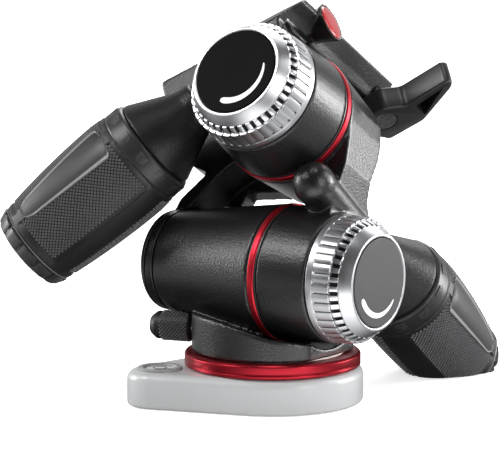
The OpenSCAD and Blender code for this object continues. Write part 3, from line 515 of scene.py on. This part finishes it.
def break_edges(bm, width, segments):
    edges = [e for e in bm.edges if len(e.link_faces) == 2 and e.calc_face_angle(0) > 0.5]
    bmesh.ops.bevel(bm, geom=edges, offset=width, segments=segments, profile=0.5, affect="EDGES",
                    clamp_overlap=True)


def slab(name, outline, z0, z1, mat, place, bevel=0.0):
    """An outline raised from z0 to z1, with rounded edges when bevel is given."""
    bm = bmesh.new()
    bottom = bm.faces.new([bm.verts.new((x, y, z0)) for x, y in outline])
    raised = bmesh.ops.extrude_face_region(bm, geom=[bottom])["geom"]
    raised = [v for v in raised if isinstance(v, bmesh.types.BMVert)]
    bmesh.ops.translate(bm, vec=(0, 0, z1 - z0), verts=raised)
    bmesh.ops.recalc_face_normals(bm, faces=bm.faces)
    if bevel:
        break_edges(bm, bevel, 3)
    return from_bmesh(bm, name, mat, place, 40)


def bridge(bm, rows):
    """Faces between rows of vertices that run round a solid, and over its two ends."""
    for a, b in zip(rows, rows[1:]):
        for j in range(len(a)):
            k = (j + 1) % len(a)
            bm.faces.new((a[j], a[k], b[k], b[j]))
    bm.faces.new(rows[0])
    bm.faces.new(rows[-1])


def sector_bm(r0, r1, z0, z1, half_deg, steps, ease):
    """A block between two radii and two heights, centred on angle 0, with eased outer edges."""
    bm = bmesh.new()
    rows = []
    for k in range(steps + 1):
        a = math.radians(half_deg) * (2 * k / steps - 1)
        e = ease if k in (0, steps) else 0
        ring = [(r0, z0), (r1 - ease - e, z0), (r1 - e, z0 + ease), (r1 - e, z1 - ease), (r1 - ease - e, z1),
                (r0, z1)]
        rows.append([bm.verts.new(polar(r, a, z)) for r, z in ring])
    bridge(bm, rows)
    return bm


def make_repeat_tree():
    """Copies a piece round Z: Count copies from Start, Step apart."""
    tree = bpy.data.node_groups.new("repeat_round", "GeometryNodeTree")
    tree.interface.new_socket("Geometry", in_out="INPUT", socket_type="NodeSocketGeometry")
    for label, kind, value in (("Count", "NodeSocketInt", 8), ("Start", "NodeSocketFloat", 0.0),
                               ("Step", "NodeSocketFloat", 0.785)):
        tree.interface.new_socket(label, in_out="INPUT", socket_type=kind).default_value = value
    tree.interface.new_socket("Material", in_out="INPUT", socket_type="NodeSocketMaterial")
    tree.interface.new_socket("Geometry", in_out="OUTPUT", socket_type="NodeSocketGeometry")
    n, l = tree.nodes, tree.links
    gin, gout = n.new("NodeGroupInput"), n.new("NodeGroupOutput")
    points = n.new("GeometryNodePoints")
    l.new(gin.outputs["Count"], points.inputs["Count"])
    index = n.new("GeometryNodeInputIndex")
    mul = n.new("ShaderNodeMath")
    mul.operation = "MULTIPLY_ADD"
    l.new(index.outputs[0], mul.inputs[0])
    l.new(gin.outputs["Step"], mul.inputs[1])
    l.new(gin.outputs["Start"], mul.inputs[2])
    spin = n.new("ShaderNodeCombineXYZ")
    l.new(mul.outputs[0], spin.inputs["Z"])
    rot = n.new("FunctionNodeEulerToRotation")
    l.new(spin.outputs[0], rot.inputs[0])
    inst = n.new("GeometryNodeInstanceOnPoints")
    l.new(points.outputs[0], inst.inputs["Points"])
    l.new(gin.outputs["Geometry"], inst.inputs["Instance"])
    l.new(rot.outputs[0], inst.inputs["Rotation"])
    real = n.new("GeometryNodeRealizeInstances")
    l.new(inst.outputs[0], real.inputs[0])
    setm = n.new("GeometryNodeSetMaterial")
    l.new(real.outputs[0], setm.inputs["Geometry"])
    l.new(gin.outputs["Material"], setm.inputs["Material"])
    l.new(setm.outputs[0], gout.inputs[0])
    return tree


REPEAT = make_repeat_tree()
SOCKET = {s.name: s.identifier for s in REPEAT.interface.items_tree
          if s.item_type == "SOCKET" and s.in_out == "INPUT"}


def repeat_round(name, bm, mat, place, passes, smooth=35):
    """Rows of copies of a small piece round its frame's Z; passes are (count, start, step) in degrees."""
    bmesh.ops.recalc_face_normals(bm, faces=bm.faces)
    host = link(to_mesh(bm, name + "_one"), name + "_one")
    for i, (count, start, step) in enumerate(passes):
        mod = host.modifiers.new(f"round_{i}", "NODES")
        mod.node_group = REPEAT
        mod[SOCKET["Count"]] = count
        mod[SOCKET["Start"]] = math.radians(start)
        mod[SOCKET["Step"]] = math.radians(step)
        mod[SOCKET["Material"]] = mat
    got = evaluated_mesh(host)
    bpy.data.objects.remove(host)
    got.transform(Matrix.Scale(MM, 4) @ place)
    got.name = name
    if not got.materials:
        got.materials.append(mat)
    return link(got, name, None, smooth)


def join(name, *objs):
    """Joins finished pieces into one mesh, keeping their materials."""
    bm = bmesh.new()
    mats = []
    for o in objs:
        remap = []
        for m in o.data.materials:
            if m not in mats:
                mats.append(m)
            remap.append(mats.index(m))
        before = len(bm.faces)
        bm.from_mesh(o.data)
        bm.faces.ensure_lookup_table()
        for f in bm.faces[before:]:
            f.material_index = remap[f.material_index] if remap else 0
    mesh = to_mesh(bm, name)
    for m in mats:
        mesh.materials.append(m)
    for o in objs:
        bpy.data.objects.remove(o)
    return link(mesh, name)


def cut(obj, cutter, smooth=35, operation="DIFFERENCE"):
    """Takes the cutter's space out of a finished piece, or adds it with operation="UNION"."""
    mod = obj.modifiers.new("cut", "BOOLEAN")
    mod.operation, mod.object, mod.solver = operation, cutter, "EXACT"
    got = evaluated_mesh(obj)
    obj.modifiers.clear()
    obj.data = got
    bpy.data.objects.remove(cutter)
    got.shade_smooth()
    got.set_sharp_from_angle(angle=math.radians(smooth))


def bevelled(node, mat, width):
    """A CAD node's solid with its edges broken."""
    bm = bmesh.new()
    bm.from_mesh(NODES[node].data)
    bmesh.ops.remove_doubles(bm, verts=bm.verts, dist=1e-6)
    bmesh.ops.dissolve_limit(bm, angle_limit=math.radians(1), verts=bm.verts, edges=bm.edges)
    break_edges(bm, width * MM, 2)
    return link(to_mesh(bm, node + "_eased"), node + "_eased", mat, 35)


def cast_skin(node, mat, voxel, model=None):
    """A CAD node's solid, or a finished model of it, with its edges rounded as a casting's are."""
    bm = bmesh.new()
    bm.from_mesh((model or NODES[node]).data)
    if model:
        bpy.data.objects.remove(model)
    bmesh.ops.remove_doubles(bm, verts=bm.verts, dist=1e-6)
    host = link(to_mesh(bm, node + "_skin"), node + "_skin")
    remesh = host.modifiers.new("skin", "REMESH")
    remesh.mode, remesh.voxel_size = "VOXEL", voxel * MM
    ease = host.modifiers.new("ease", "SMOOTH")
    ease.factor, ease.iterations = 0.5, 6
    got = evaluated_mesh(host)
    bpy.data.objects.remove(host)
    got.materials.clear()
    got.materials.append(mat)
    got.shade_smooth()
    return link(got, node + "_cast")


def place_on(obj, body, slot, *nodes):
    """A finished piece rides on a body and takes the place of CAD nodes."""
    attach(obj, body)
    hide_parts(*nodes)


def dress(node, mat):
    """A CAD node keeps its shape and gets a better finish."""
    data = NODES[node].data
    if not data.materials:
        data.materials.append(mat)
    for i in range(len(data.materials)):
        data.materials[i] = mat


# ---------------------------------------------------------------- base
def plate_outline(inset, steps=96):
    """Outline of the base plate: the round plate and its lobe, joined by straight flanks."""
    r1, r2, d = PLATE_D / 2 - inset, LOBE_D / 2 - inset, LOBE_R
    base, half = math.radians(LOBE_DEG), math.acos((r1 - r2) / d)
    pts = []
    for k in range(steps + 1):
        a = base + half + (2 * math.pi - 2 * half) * k / steps
        pts.append((r1 * math.cos(a), r1 * math.sin(a)))
    cx, cy = LOBE_R * math.cos(base), LOBE_R * math.sin(base)
    for k in range(steps // 2 + 1):
        a = base - half + 2 * half * k / (steps // 2)
        pts.append((cx + r2 * math.cos(a), cy + r2 * math.sin(a)))
    return pts


def shifted(r, z, steps):
    """A profile given as steps from (r, z)."""
    return [(r + dr, z + dz) for dr, dz in steps]


def build_base():
    edge, seat_z = 3.0, PLATE_H - 4
    rows = []
    for k in range(7):                                      # the foot's edge
        t = math.pi / 2 * k / 6
        rows.append((edge * 0.4 * (1 - math.sin(t)), 1.2 * (1 - math.cos(t))))
    for k in range(9):                                      # the upper edge
        t = math.pi / 2 * k / 8
        rows.append((edge * (1 - math.cos(t)), PLATE_H - edge + edge * math.sin(t)))
    bm = bmesh.new()
    bridge(bm, [[bm.verts.new((x, y, z)) for x, y in plate_outline(inset)] for inset, z in rows])
    plate = from_bmesh(bm, "pale_base", pale_plate, None, 30)
    # the level's seat and the holes under the plate
    cutters = [plug("cut_seat", 7.5, seat_z, PLATE_H + 3, pale_plate, LOBE, 64),
               plug("cut_well", 7.0, -1, PLATE_H + 1, pale_plate, None, 64)]
    for i in range(3):
        at = turn(120 * i, "Z") @ move(20, 0, 0)
        cutters.append(plug(f"cut_screw_{i}", 4, -1, 4.5, pale_plate, at, 64))
    for cutter in cutters:
        cut(plate, cutter, 30)
    place_on(plate, "base", "pale_alloy", "base_plate")
    rim = shifted(5.5, seat_z, [(0, 0), (2, 0), (2, 4.8), (0.4, 4.8), (0, 4.2)])
    place_on(lathe("level_rim", rim, level_grey, LOBE, 0.3, 72), "base", "pale_alloy", "level_bezel")
    glass = shifted(0, seat_z, [(0, 0), (5.45, 0), (5.45, 4.0), (4.6, 4.3), (2.4, 4.4), (0, 4.4)])
    circle = shifted(2.0, seat_z, [(0, 4.35), (0.35, 4.35), (0.35, 4.44), (0, 4.44)])
    vial = join("level_eye", lathe("level_glass", glass, vial_glass, LOBE, 0.2, 72),
                lathe("level_circle", circle, dial_black, LOBE, 0, 48))
    place_on(vial, "base", "level_glass", "level_vial")
    r, hole = DISC_D / 2, 7.2 - DISC_D / 2
    groove = [(hole, 0), (-0.6, 0), (0, 0.6), (0, 1.3), (-0.35, 1.5), (-0.35, 1.7), (0, 1.9),
              (0, DISC_H - 0.7), (-0.7, DISC_H), (hole, DISC_H)]
    disc = lathe("red_disc", shifted(r, PLATE_H, groove), red_disc, None, 0.15, 160)
    place_on(disc, "base", "red_anodised", "base_disc")
    for node in ("base_screws", "tripod_bush", "pan_bolt", "pan_nut"):
        dress(node, steel)
    dress("thrust_washer", nylon_white)


# ---------------------------------------------------------------- pan body
def pan_model():
    """A round wall whose top rises outwards from the barrel's underside, the barrel, and the lock's boss."""
    top, r, left = AXIS_Z - CRADLE_R + 0.4, PAN_D / 2, SEAM_X - RING_X
    wall = [(0, PAN_Z), (r, PAN_Z), (r, top - 0.4), (r - 0.4, top), (12, top), (0, top)]
    body = lathe("wall", wall, black_casting, None, 0, 144)
    for v in body.data.vertices:
        if v.co.z > (top - 1) * MM:
            v.co.z += max(RISE_FRONT * abs(v.co.y), RISE_REAR * abs(v.co.y) - TAPER_REAR * v.co.x)
    cut(body, plug("cradle", CRADLE_R, 0, 60, black_casting, LOWER_AXIS))
    beyond = [(PAN_FLAT_X, -40), (60, -40), (60, 40), (PAN_FLAT_X, 40)]
    cut(body, slab("flat", beyond, 0, 60, black_casting, None))
    boss = plug("boss", PAN_KNOB_D / 2 - 1, -13, -0.6, black_casting, PAN_KNOB)
    cone = [(0, left), (SEAM_R, left), (RING_R - 0.2, 0), (0, 0)]
    barrel = lathe("barrel", cone, black_casting, LOWER_AXIS, 0, 144)
    for piece in (boss, barrel):
        cut(body, piece, operation="UNION")
    for name, way_r, z0, z1, place in (("hollow", BORE_R, left + 5, 1, LOWER_AXIS),
                                       ("spindle_way", SPINDLE_R, left - 1, left + 9, LOWER_AXIS),
                                       ("bolt_way", BOLT_R + 0.2, PAN_Z - 1, AXIS_Z, None),
                                       ("bush_seat", 9, PAN_Z - 1, PAN_Z + 7, None),
                                       ("screw_way", 3.2, -22, 2, PAN_KNOB)):
        cut(body, plug(name, way_r, z0, z1, black_casting, place))
    return body


def build_pan():
    skin = cast_skin("pan_housing", black_casting, 0.55, pan_model())
    place_on(skin, "pan_body", "black_casting", "pan_housing")
    core = [(6, 0), (RING_R - 0.5, 0), (RING_R - 0.5, RING_W), (6, RING_W)]
    band = [(RING_R - 2, 0.45), (RING_R - 0.3, 0.45), (RING_R, 0.8), (RING_R, RING_W - 1.0),
            (RING_R - 0.3, RING_W - 0.65), (RING_R - 2, RING_W - 0.65)]
    for tag, red, place, body in (("tilt", red_lower, LOWER_AXIS, "pan_body"),
                                  ("roll", red_upper, UPPER_AXIS, "yoke")):
        ring = join(f"{tag}_red_ring", lathe(f"{tag}_band", band, red, place, 0.2, 160),
                    lathe(f"{tag}_core", core, satin_black, place, 0.1, 160))
        place_on(ring, body, "red_anodised", f"{tag}_ring")
    dress("pan_bush", bronze)
    dress("pan_lock_pad", brass)
    dress("tilt_spindle", steel)
    l, r, screw_r = PAN_REACH - PAN_D / 2 - 1.3, PAN_KNOB_D / 2, 3.25
    core = [(screw_r, 0), (r - 1.2, 0), (r - 0.45, 0.8), (r - 0.45, l - 2.6), (r - 2.0, l - 0.5),
            (r - 3.0, l - 0.1), (0, l - 0.1), (0, l - 3), (screw_r, l - 3)]
    core = lathe("lock_knob_core", core, grip_rubber, PAN_KNOB, 0.3, 72)
    dots = diamonds(lambda z: r - 0.47, 1.4, 1.25, 8, 15, 0.45)
    knurl = repeat_round("lock_knob_knurl", dots, knurl_painted_highlight, PAN_KNOB, [(24, 0, 15)], 60)
    place_on(join("lock_knob", core, knurl), "pan_knob", "grip_rubber", "pan_knob_grip")
    dress("pan_knob_screw", steel)


# ---------------------------------------------------------------- friction knobs
def draw_in(v, by):
    """Moves a vertex towards the Z axis."""
    k = 1 - by / math.hypot(v.co.x, v.co.y)
    v.co.x, v.co.y = v.co.x * k, v.co.y * k


def build_friction_knob(tag, place, silver, dial_mat, body, mark_turn):
    s0, s1, r, front, pitch = KNOB_S0, KNOB_S1, KNOB_R, KNOB_FRONT_R, 360 / RIB_N
    skirt_l, inside = 9.0, 14.0
    crown = s0 + skirt_l
    shell = lathe(f"{tag}_shell", [
        (r - 3.4, s0), (r - 0.6, s0), (r, s0 + 0.5), (r - 0.2, s0 + 2.7), (r - 1.1, s0 + 3.1),
        (r - 1.6, crown - 0.2), (inside, crown - 0.2), (inside, s1 - 3.0), (10, s1 - 3.0),
        (10, s0 + 2.4), (12.4, s0 + 2.4), (12.4, s1 - 5.0), (r - 4.6, s1 - 7.0)],
        silver, place, 0.12, 160)
    dark = lathe(f"{tag}_step", [
        (r - 2.4, crown - 0.3), (r - 2.5, crown + 0.1), (front - 0.3, crown + 1.9),
        (front - 0.4, crown + 2.2), (inside, crown + 2.2), (inside, crown - 0.3)],
        step_black, place, 0.1, 160)
    bevel = lathe(f"{tag}_bevel", [
        (13.0, crown + 2.1), (front, crown + 2.1), (front, crown + 2.7), (DIAL_R + 1.4, s1 - 0.25),
        (DIAL_R + 0.6, s1 - 0.2), (DIAL_R + 0.12, s1 - 0.5), (DIAL_R + 0.12, s1 - 2), (13.0, s1 - 2)],
        silver, place, 0.18, 160)
    lands = sector_bm(r - 2.2, r, s0 + 2.4, crown, pitch * 0.415, 4, 0.14)
    for v in lands.verts:                                   # the side tapers towards the dial
        draw_in(v, 0.75 * (v.co.z - s0) / skirt_l)
    rib_z, rib_l, lean = crown - 0.5, 3.0, r - 1.4 - (front + 0.5)
    ribs = sector_bm(front - 1.4, r - 1.4, rib_z, rib_z + rib_l, pitch * 0.27, 3, 0.1)
    for v in ribs.verts:                                    # each rib bridges the dark step
        if math.hypot(v.co.x, v.co.y) > front + 0.3:
            draw_in(v, lean * (v.co.z - rib_z) / rib_l)
    rows = [repeat_round(f"{tag}_{name}", bm, silver, place, [(RIB_N, 0, pitch)])
            for name, bm in (("lands", lands), ("ribs", ribs))]
    knob = join(f"{tag}_friction_knob", shell, dark, bevel, *rows)
    place_on(knob, body, "silver_knurled", f"{tag}_knob")
    face = [(0, s1 - 2), (DIAL_R, s1 - 2), (DIAL_R, s1 - 0.12), (DIAL_R - 0.3, s1 - 0.02), (0, s1 - 0.02)]
    disc = lathe(f"{tag}_disc", face, dial_mat, place, 0.06, 128)
    bm, rows, mark_r = bmesh.new(), [], 10.9
    for k in range(33):                                     # a tapered arc, blunt at one end
        t = k / 32
        a = math.radians(mark_turn + 119.5 * t)
        w = 1.15 * (0.12 + 0.88 * math.sqrt(max(0, 1 - t)))
        if k < 3:
            w *= (0.45, 0.8, 0.95)[k]
        rows.append([bm.verts.new(polar(mark_r + side * w, a, z))
                     for side, z in ((-1, s1 - 0.05), (1, s1 - 0.05), (1, s1), (-1, s1))])
    bridge(bm, rows)
    arc = from_bmesh(bm, f"{tag}_arc", white_mark, place, 30)
    slot = "dial_grey" if tag == "tilt" else "dial_black"
    place_on(join(f"{tag}_dial_face", disc, arc), body, slot, f"{tag}_dial")
    dress(f"{tag}_nut", brass)
    dress(f"{tag}_spring_washers", steel)


# ---------------------------------------------------------------- handles
def grip_radius(z):
    """Outer radius of the grip at a height above the collar's foot."""
    if z < GRIP_PEAK:
        return COLLAR_R + 0.8 + (GRIP_R - COLLAR_R - 0.8) * max(0, (z - COLLAR_L) / (GRIP_PEAK - COLLAR_L))
    k = (z - GRIP_PEAK) / (GRIP_L - GAP - GRIP_PEAK)
    return GRIP_R - (GRIP_R - GRIP_END_R) * k * k


def diamonds(radius_at, z_from, dz, rows, step, rise):
    """Two staggered rows of raised diamonds a pitch, for one step round the axis."""
    bm = bmesh.new()
    fill, top_size = 0.4, 0.42
    half_a, half_z = math.radians(step * fill), dz * fill
    for i in range(rows):
        for h in (0, 1):
            z = z_from + (i + 0.5 * h) * dz
            a0, r = math.radians(step * 0.5 * h), radius_at(z)
            base, top = [[bm.verts.new(polar(r + up, a0 + k * u * half_a, z + k * w * half_z))
                          for u, w in ((-1, 0), (0, -1), (1, 0), (0, 1))]
                         for k, up in ((1, 0), (top_size, rise))]
            for j in range(4):
                bm.faces.new((base[j], base[(j + 1) % 4], top[(j + 1) % 4], top[j]))
            bm.faces.new(top)
    return bm


def build_panel(tag, place, z0, turn_deg):
    """The smooth panel let into the grip, with a raised lip painted lighter as a highlight, as a closed
    shell.
    """
    za, zb, n, m = COLLAR_L + 3.0, GRIP_L - 4.0, 44, 24

    def rim_at(t, s):
        """1 at the panel's outline, less inside it."""
        return max(abs(s), 1 - min(t, 1 - t) / 0.03)

    grid = []
    for i in range(n + 1):
        t = i / n
        z = za + (zb - za) * t
        end = min(t / 0.05, (1 - t) / 0.13)                 # squarer at the collar, rounder at the end cap
        w = (7.0 - 3.6 * t ** 1.5) * (math.sqrt(max(0.0, 1 - (1 - end) ** 2)) if end < 1 else 1) + 0.25
        row = []
        for j in range(m + 1):
            s = 2 * j / m - 1
            lift = 0.3 if rim_at(t, s) > 0.9 else 0.08
            a = math.radians(turn_deg) + s * w / grip_radius(z)
            row.append((grip_radius(z) - 0.05 + lift, a, z + z0))
        grid.append(row)
    bm = bmesh.new()
    top, low = [[[bm.verts.new(polar(r - deep, a, z)) for r, a, z in row] for row in grid]
                for deep in (0, 1.6)]
    for i in range(n):
        for j in range(m):
            f = bm.faces.new((top[i][j], top[i][j + 1], top[i + 1][j + 1], top[i + 1][j]))
            f.material_index = 1 if rim_at((i + 0.5) / n, 2 * (j + 0.5) / m - 1) > 0.86 else 0
            bm.faces.new((low[i][j], low[i + 1][j], low[i + 1][j + 1], low[i][j + 1]))
    for i in range(n):
        for j in (0, m):
            bm.faces.new((top[i][j], top[i + 1][j], low[i + 1][j], low[i][j])).material_index = 1
    for j in range(m):
        for i in (0, n):
            bm.faces.new((top[i][j], top[i][j + 1], low[i][j + 1], low[i][j])).material_index = 1
    obj = from_bmesh(bm, f"{tag}_panel_{turn_deg}", panel_smooth, place, 45)
    obj.data.materials.append(edge_painted_highlight)
    return obj


def build_handle(tag, place, neck_l, panel_deg, body, grip_body):
    z0 = neck_l + GAP
    neck = lathe(f"{tag}_cone", [
        (4.0, NECK_S), (7.6, NECK_S), (8.4, NECK_S + 0.8), (9.0, neck_l - 17.6), (9.9, neck_l - 15),
        (11.8, neck_l - 11), (14.4, neck_l - 5.4), (16.5, neck_l - 0.9), (16.5, neck_l), (7.0, neck_l),
        (7.0, NECK_S + 2), (4.0, NECK_S + 2)], neck_black, place, 0.6, 128, smooth=60)
    place_on(neck, body, "black_casting", f"{tag}_neck")
    dress(f"{tag}_lock_rod", steel)
    r, inner = COLLAR_R, 12.0
    collar = lathe(f"{tag}_collar_ring", [
        (inner, z0), (r - 0.9, z0), (r - 0.1, z0 + 0.7), (r + 0.55, z0 + COLLAR_L - 0.7),
        (r + 0.35, z0 + COLLAR_L), (inner, z0 + COLLAR_L)], moulded_black, place, 0.35, 144)
    mark = sector_bm(r - 0.8, r + 0.42, z0 + 1.6, z0 + 5.2, 6.5, 3, 0.12)
    marks = repeat_round(f"{tag}_collar_marks", mark, moulded_black, place, [(12, panel_deg + 15, 30)])
    place_on(join(f"{tag}_collar_band", collar, marks), grip_body, "black_plastic", f"{tag}_collar")
    dress(f"{tag}_grip_core", moulded_black)

    def knurled(angle):
        a = (math.degrees(angle) - panel_deg) % 180
        return 8.0 < a < 75.5 or 104.5 < a < 172.0

    def sleeve(r, z, angle):
        """Sinks the fields of the knurl, and the grip's two ends, into the sleeve."""
        zz = z - z0
        if r < inner + 1 or zz < COLLAR_L + 1.2 or zz > GRIP_L - 1.6:
            return r - (0.35 if r > inner + 1 and zz < COLLAR_L + 0.5 else 0)
        return r - 0.5 if knurled(angle) else r - 0.02

    zs = [COLLAR_L + (GRIP_L - GAP - COLLAR_L) * i / 44 for i in range(45)]
    prof = [(inner, z0 + zs[0])] + [(grip_radius(z) - 0.05, z0 + z) for z in zs] + [(inner, z0 + zs[-1])]
    rubber = lathe(f"{tag}_sleeve", prof, grip_rubber, place, 0, 288, sleeve, 50)
    step, rows = 4.8, 27
    dots = diamonds(lambda z: grip_radius(z - z0) - 0.57, z0 + COLLAR_L + 2.4,
                    (GRIP_L - COLLAR_L - 5.2) / rows, rows, step, 0.55)
    knurl = repeat_round(f"{tag}_knurl", dots, knurl_painted_highlight, place,
                         [(13, panel_deg + 12.5, step), (2, 0, 98), (2, 0, 180)], 60)
    place_on(join(f"{tag}_grip_sleeve", rubber, knurl), grip_body, "grip_rubber", f"{tag}_grip_rubber")
    panels = join(f"{tag}_panels", *[build_panel(tag, place, z0, panel_deg + half) for half in (0, 180)])
    place_on(panels, grip_body, "grip_panel", f"{tag}_grip_panel")
    e, r, l = neck_l + GRIP_L, GRIP_END_R, GRIP_CAP_L
    cap = shifted(r, e, [(-r, 0), (-0.5, 0), (-0.5, 0.7), (-1.1, 1.0), (-1.3, 3.6), (-2.2, 5.4),
                         (-3.6, l - 0.1), (-6, l - 0.1), (-6.4, l - 0.6), (-r, l - 0.6)])
    cap = lathe(f"{tag}_cap", cap, moulded_black, place, 0.3, 144)
    lug = sector_bm(r - 4.5, r, e + 1.4, e + l - 0.7, 12.6, 6, 0.45)
    for v in lug.verts:                                     # the outer corner slopes in
        if v.co.z > e + 3 and math.hypot(v.co.x, v.co.y) > r - 1.4:
            draw_in(v, 1.3)
    lugs = repeat_round(f"{tag}_lugs", lug, moulded_black, place, [(12, 15, 30)])
    # a thin ring in the groove before the end cap, painted lighter as a highlight
    line = lathe(f"{tag}_line", shifted(r, e, [(-1.5, 0.62), (-0.35, 0.62), (-0.25, 0.9), (-1.5, 0.9)]),
                 edge_painted_highlight, place, 0, 144)
    place_on(join(f"{tag}_end_cap", cap, lugs, line), grip_body, "black_plastic", f"{tag}_grip_end")


# ---------------------------------------------------------------- yoke and platform
def build_yoke():
    place_on(cast_skin("tilt_yoke", black_casting, 0.5), "yoke", "black_casting", "tilt_yoke")
    end = LOWER_AXIS @ move(0, 0, SEAM_X - CAP_L - RING_X)
    t = CAP_L - HUB_L
    cap = shifted(SEAM_R, 0, [(-SEAM_R, 0), (-4.2, 0), (-1.8, 0.5), (-0.5, 1.6), (-0.05, t - 0.3), (-0.6, t),
                              (-SEAM_R, t)])
    place_on(lathe("left_cap", cap, black_casting, end, 0.5, 144), "yoke", "black_plastic", "tilt_end_cap")
    back = UPPER_AXIS @ move(0, 0, -REAR_L)
    rear = shifted(REAR_R, 0, [(-REAR_R, 0), (-5, 0), (-1.9, 0.7), (-0.2, 2.6), (1.1, 4.9), (-3.35, 4.95),
                               (-3.35, 6.9), (-5.5, 6.9), (-5.5, 3), (-REAR_R, 3)])
    place_on(lathe("rear_dome", rear, satin_black, back, 0.5, 144), "yoke", "satin_black", "rear_cap")
    for node in ("end_cap_screws", "roll_spindle"):
        dress(node, steel)
    dress("tilt_bushes", bronze)
    dress("tilt_lock_shoe", brass)


def build_lever():
    x, y, z1, l = PIVOT_X, PIVOT_Y, PLAT_Z - GAP, LEVER_L
    z0 = z1 - LEVER_T
    blade = shifted(x, y, [(-6.9, -11.4), (-6.9, 1), (-4, 6.4), (l * 0.36, 5.4), (l - 2.6, -4.6),
                           (l - 0.7, -7.5), (l - 2.6, -9.4), (l * 0.33, -7.4), (4, -11.9)])
    lever = slab("lever_blade", rounded(blade, 1.6, 5), z0, z1, satin_black, ROLLED, 1.1)
    hollow = rounded(shifted(x, y, [(l * 0.42, 2.4), (l * 0.42, -5), (l - 5, -7)]), 1.0)
    pin = ROLLED @ move(x, y - 5, 0)
    cutters = [slab("cut_hollow", hollow, z0 - 1, z0 + 4.5, satin_black, ROLLED),
               plug("cut_pocket", 4.8, z0 - 1, z0 + 4, satin_black, pin, 64),
               plug("cut_pin", 2.6, z0 - 1, z1 + 2, satin_black, pin, 64)]
    for cutter in cutters:
        cut(lever, cutter)
    place_on(lever, "lever", "satin_black", "release_lever")


def build_platform():
    place_on(cast_skin("head_casting", black_casting, 0.5), "platform", "black_casting", "head_casting")
    at = ROLLED @ move(PLAT_X1 + 2, -15.6, PLAT_Z + 3.2) @ turn(90, "Y")
    dome = [(0, 0), (6.25, 0), (6.25, 0.7), (5.8, 1.15), (4.0, 1.45), (0, 1.55)]
    place_on(lathe("bare_badge", dome, badge_red, at, 0.2, 96), "platform", "badge_red", "badge")
    dress("roll_bush", bronze)
    dress("roll_lock_shoe", brass)
    dress("lever_pin", satin_black)
    dress("lever_spring", steel)
    build_lever()
    place_on(bevelled("camera_plate", plate_black_edge_highlight, 0.4), "quick_plate", "satin_black", "camera_plate")
    place_on(bevelled("plate_pad", pad_black, 0.35), "quick_plate", "grip_rubber", "plate_pad")
    dress("camera_screw", steel)
    dress("screw_ring", steel)


set_camera()
set_world()
set_floor()
soft_light("key", (-0.55, -0.75, 0.95), (0.4, 0.4), 8)
soft_light("side", (1.05, -0.25, 0.3), (0.3, 0.6), 5)
soft_light("right_top", (0.8, 0.6, 0.7), (0.4, 0.4), 4)
soft_light("back", (-0.3, 0.9, 0.8), (0.8, 0.5), 7)
soft_light("top", (0.1, -0.1, 1.2), (0.3, 0.3), 2)
soft_light("right_rim", (0.75, 0.95, 0.22), (0.4, 0.4), 12)
soft_light("left_strip", (-1.0, -0.35, 0.3), (0.5, 0.5), 9)

build_base()
build_pan()
build_friction_knob("tilt", LOWER_AXIS, silver_lower, dial_grey, "tilt_friction_knob", -67.5)
build_friction_knob("roll", UPPER_AXIS, silver_upper, dial_black, "roll_friction_knob", -100.7)
build_handle("tilt", LOWER_HANDLE, LOWER_NECK, -12, "tilt_handle", "tilt_grip")
build_handle("roll", UPPER_HANDLE, UPPER_NECK, 271, "roll_handle", "roll_grip")
build_yoke()
build_platform()

bpy.context.scene.view_settings.view_transform = "Standard"
bpy.context.view_layer.update()
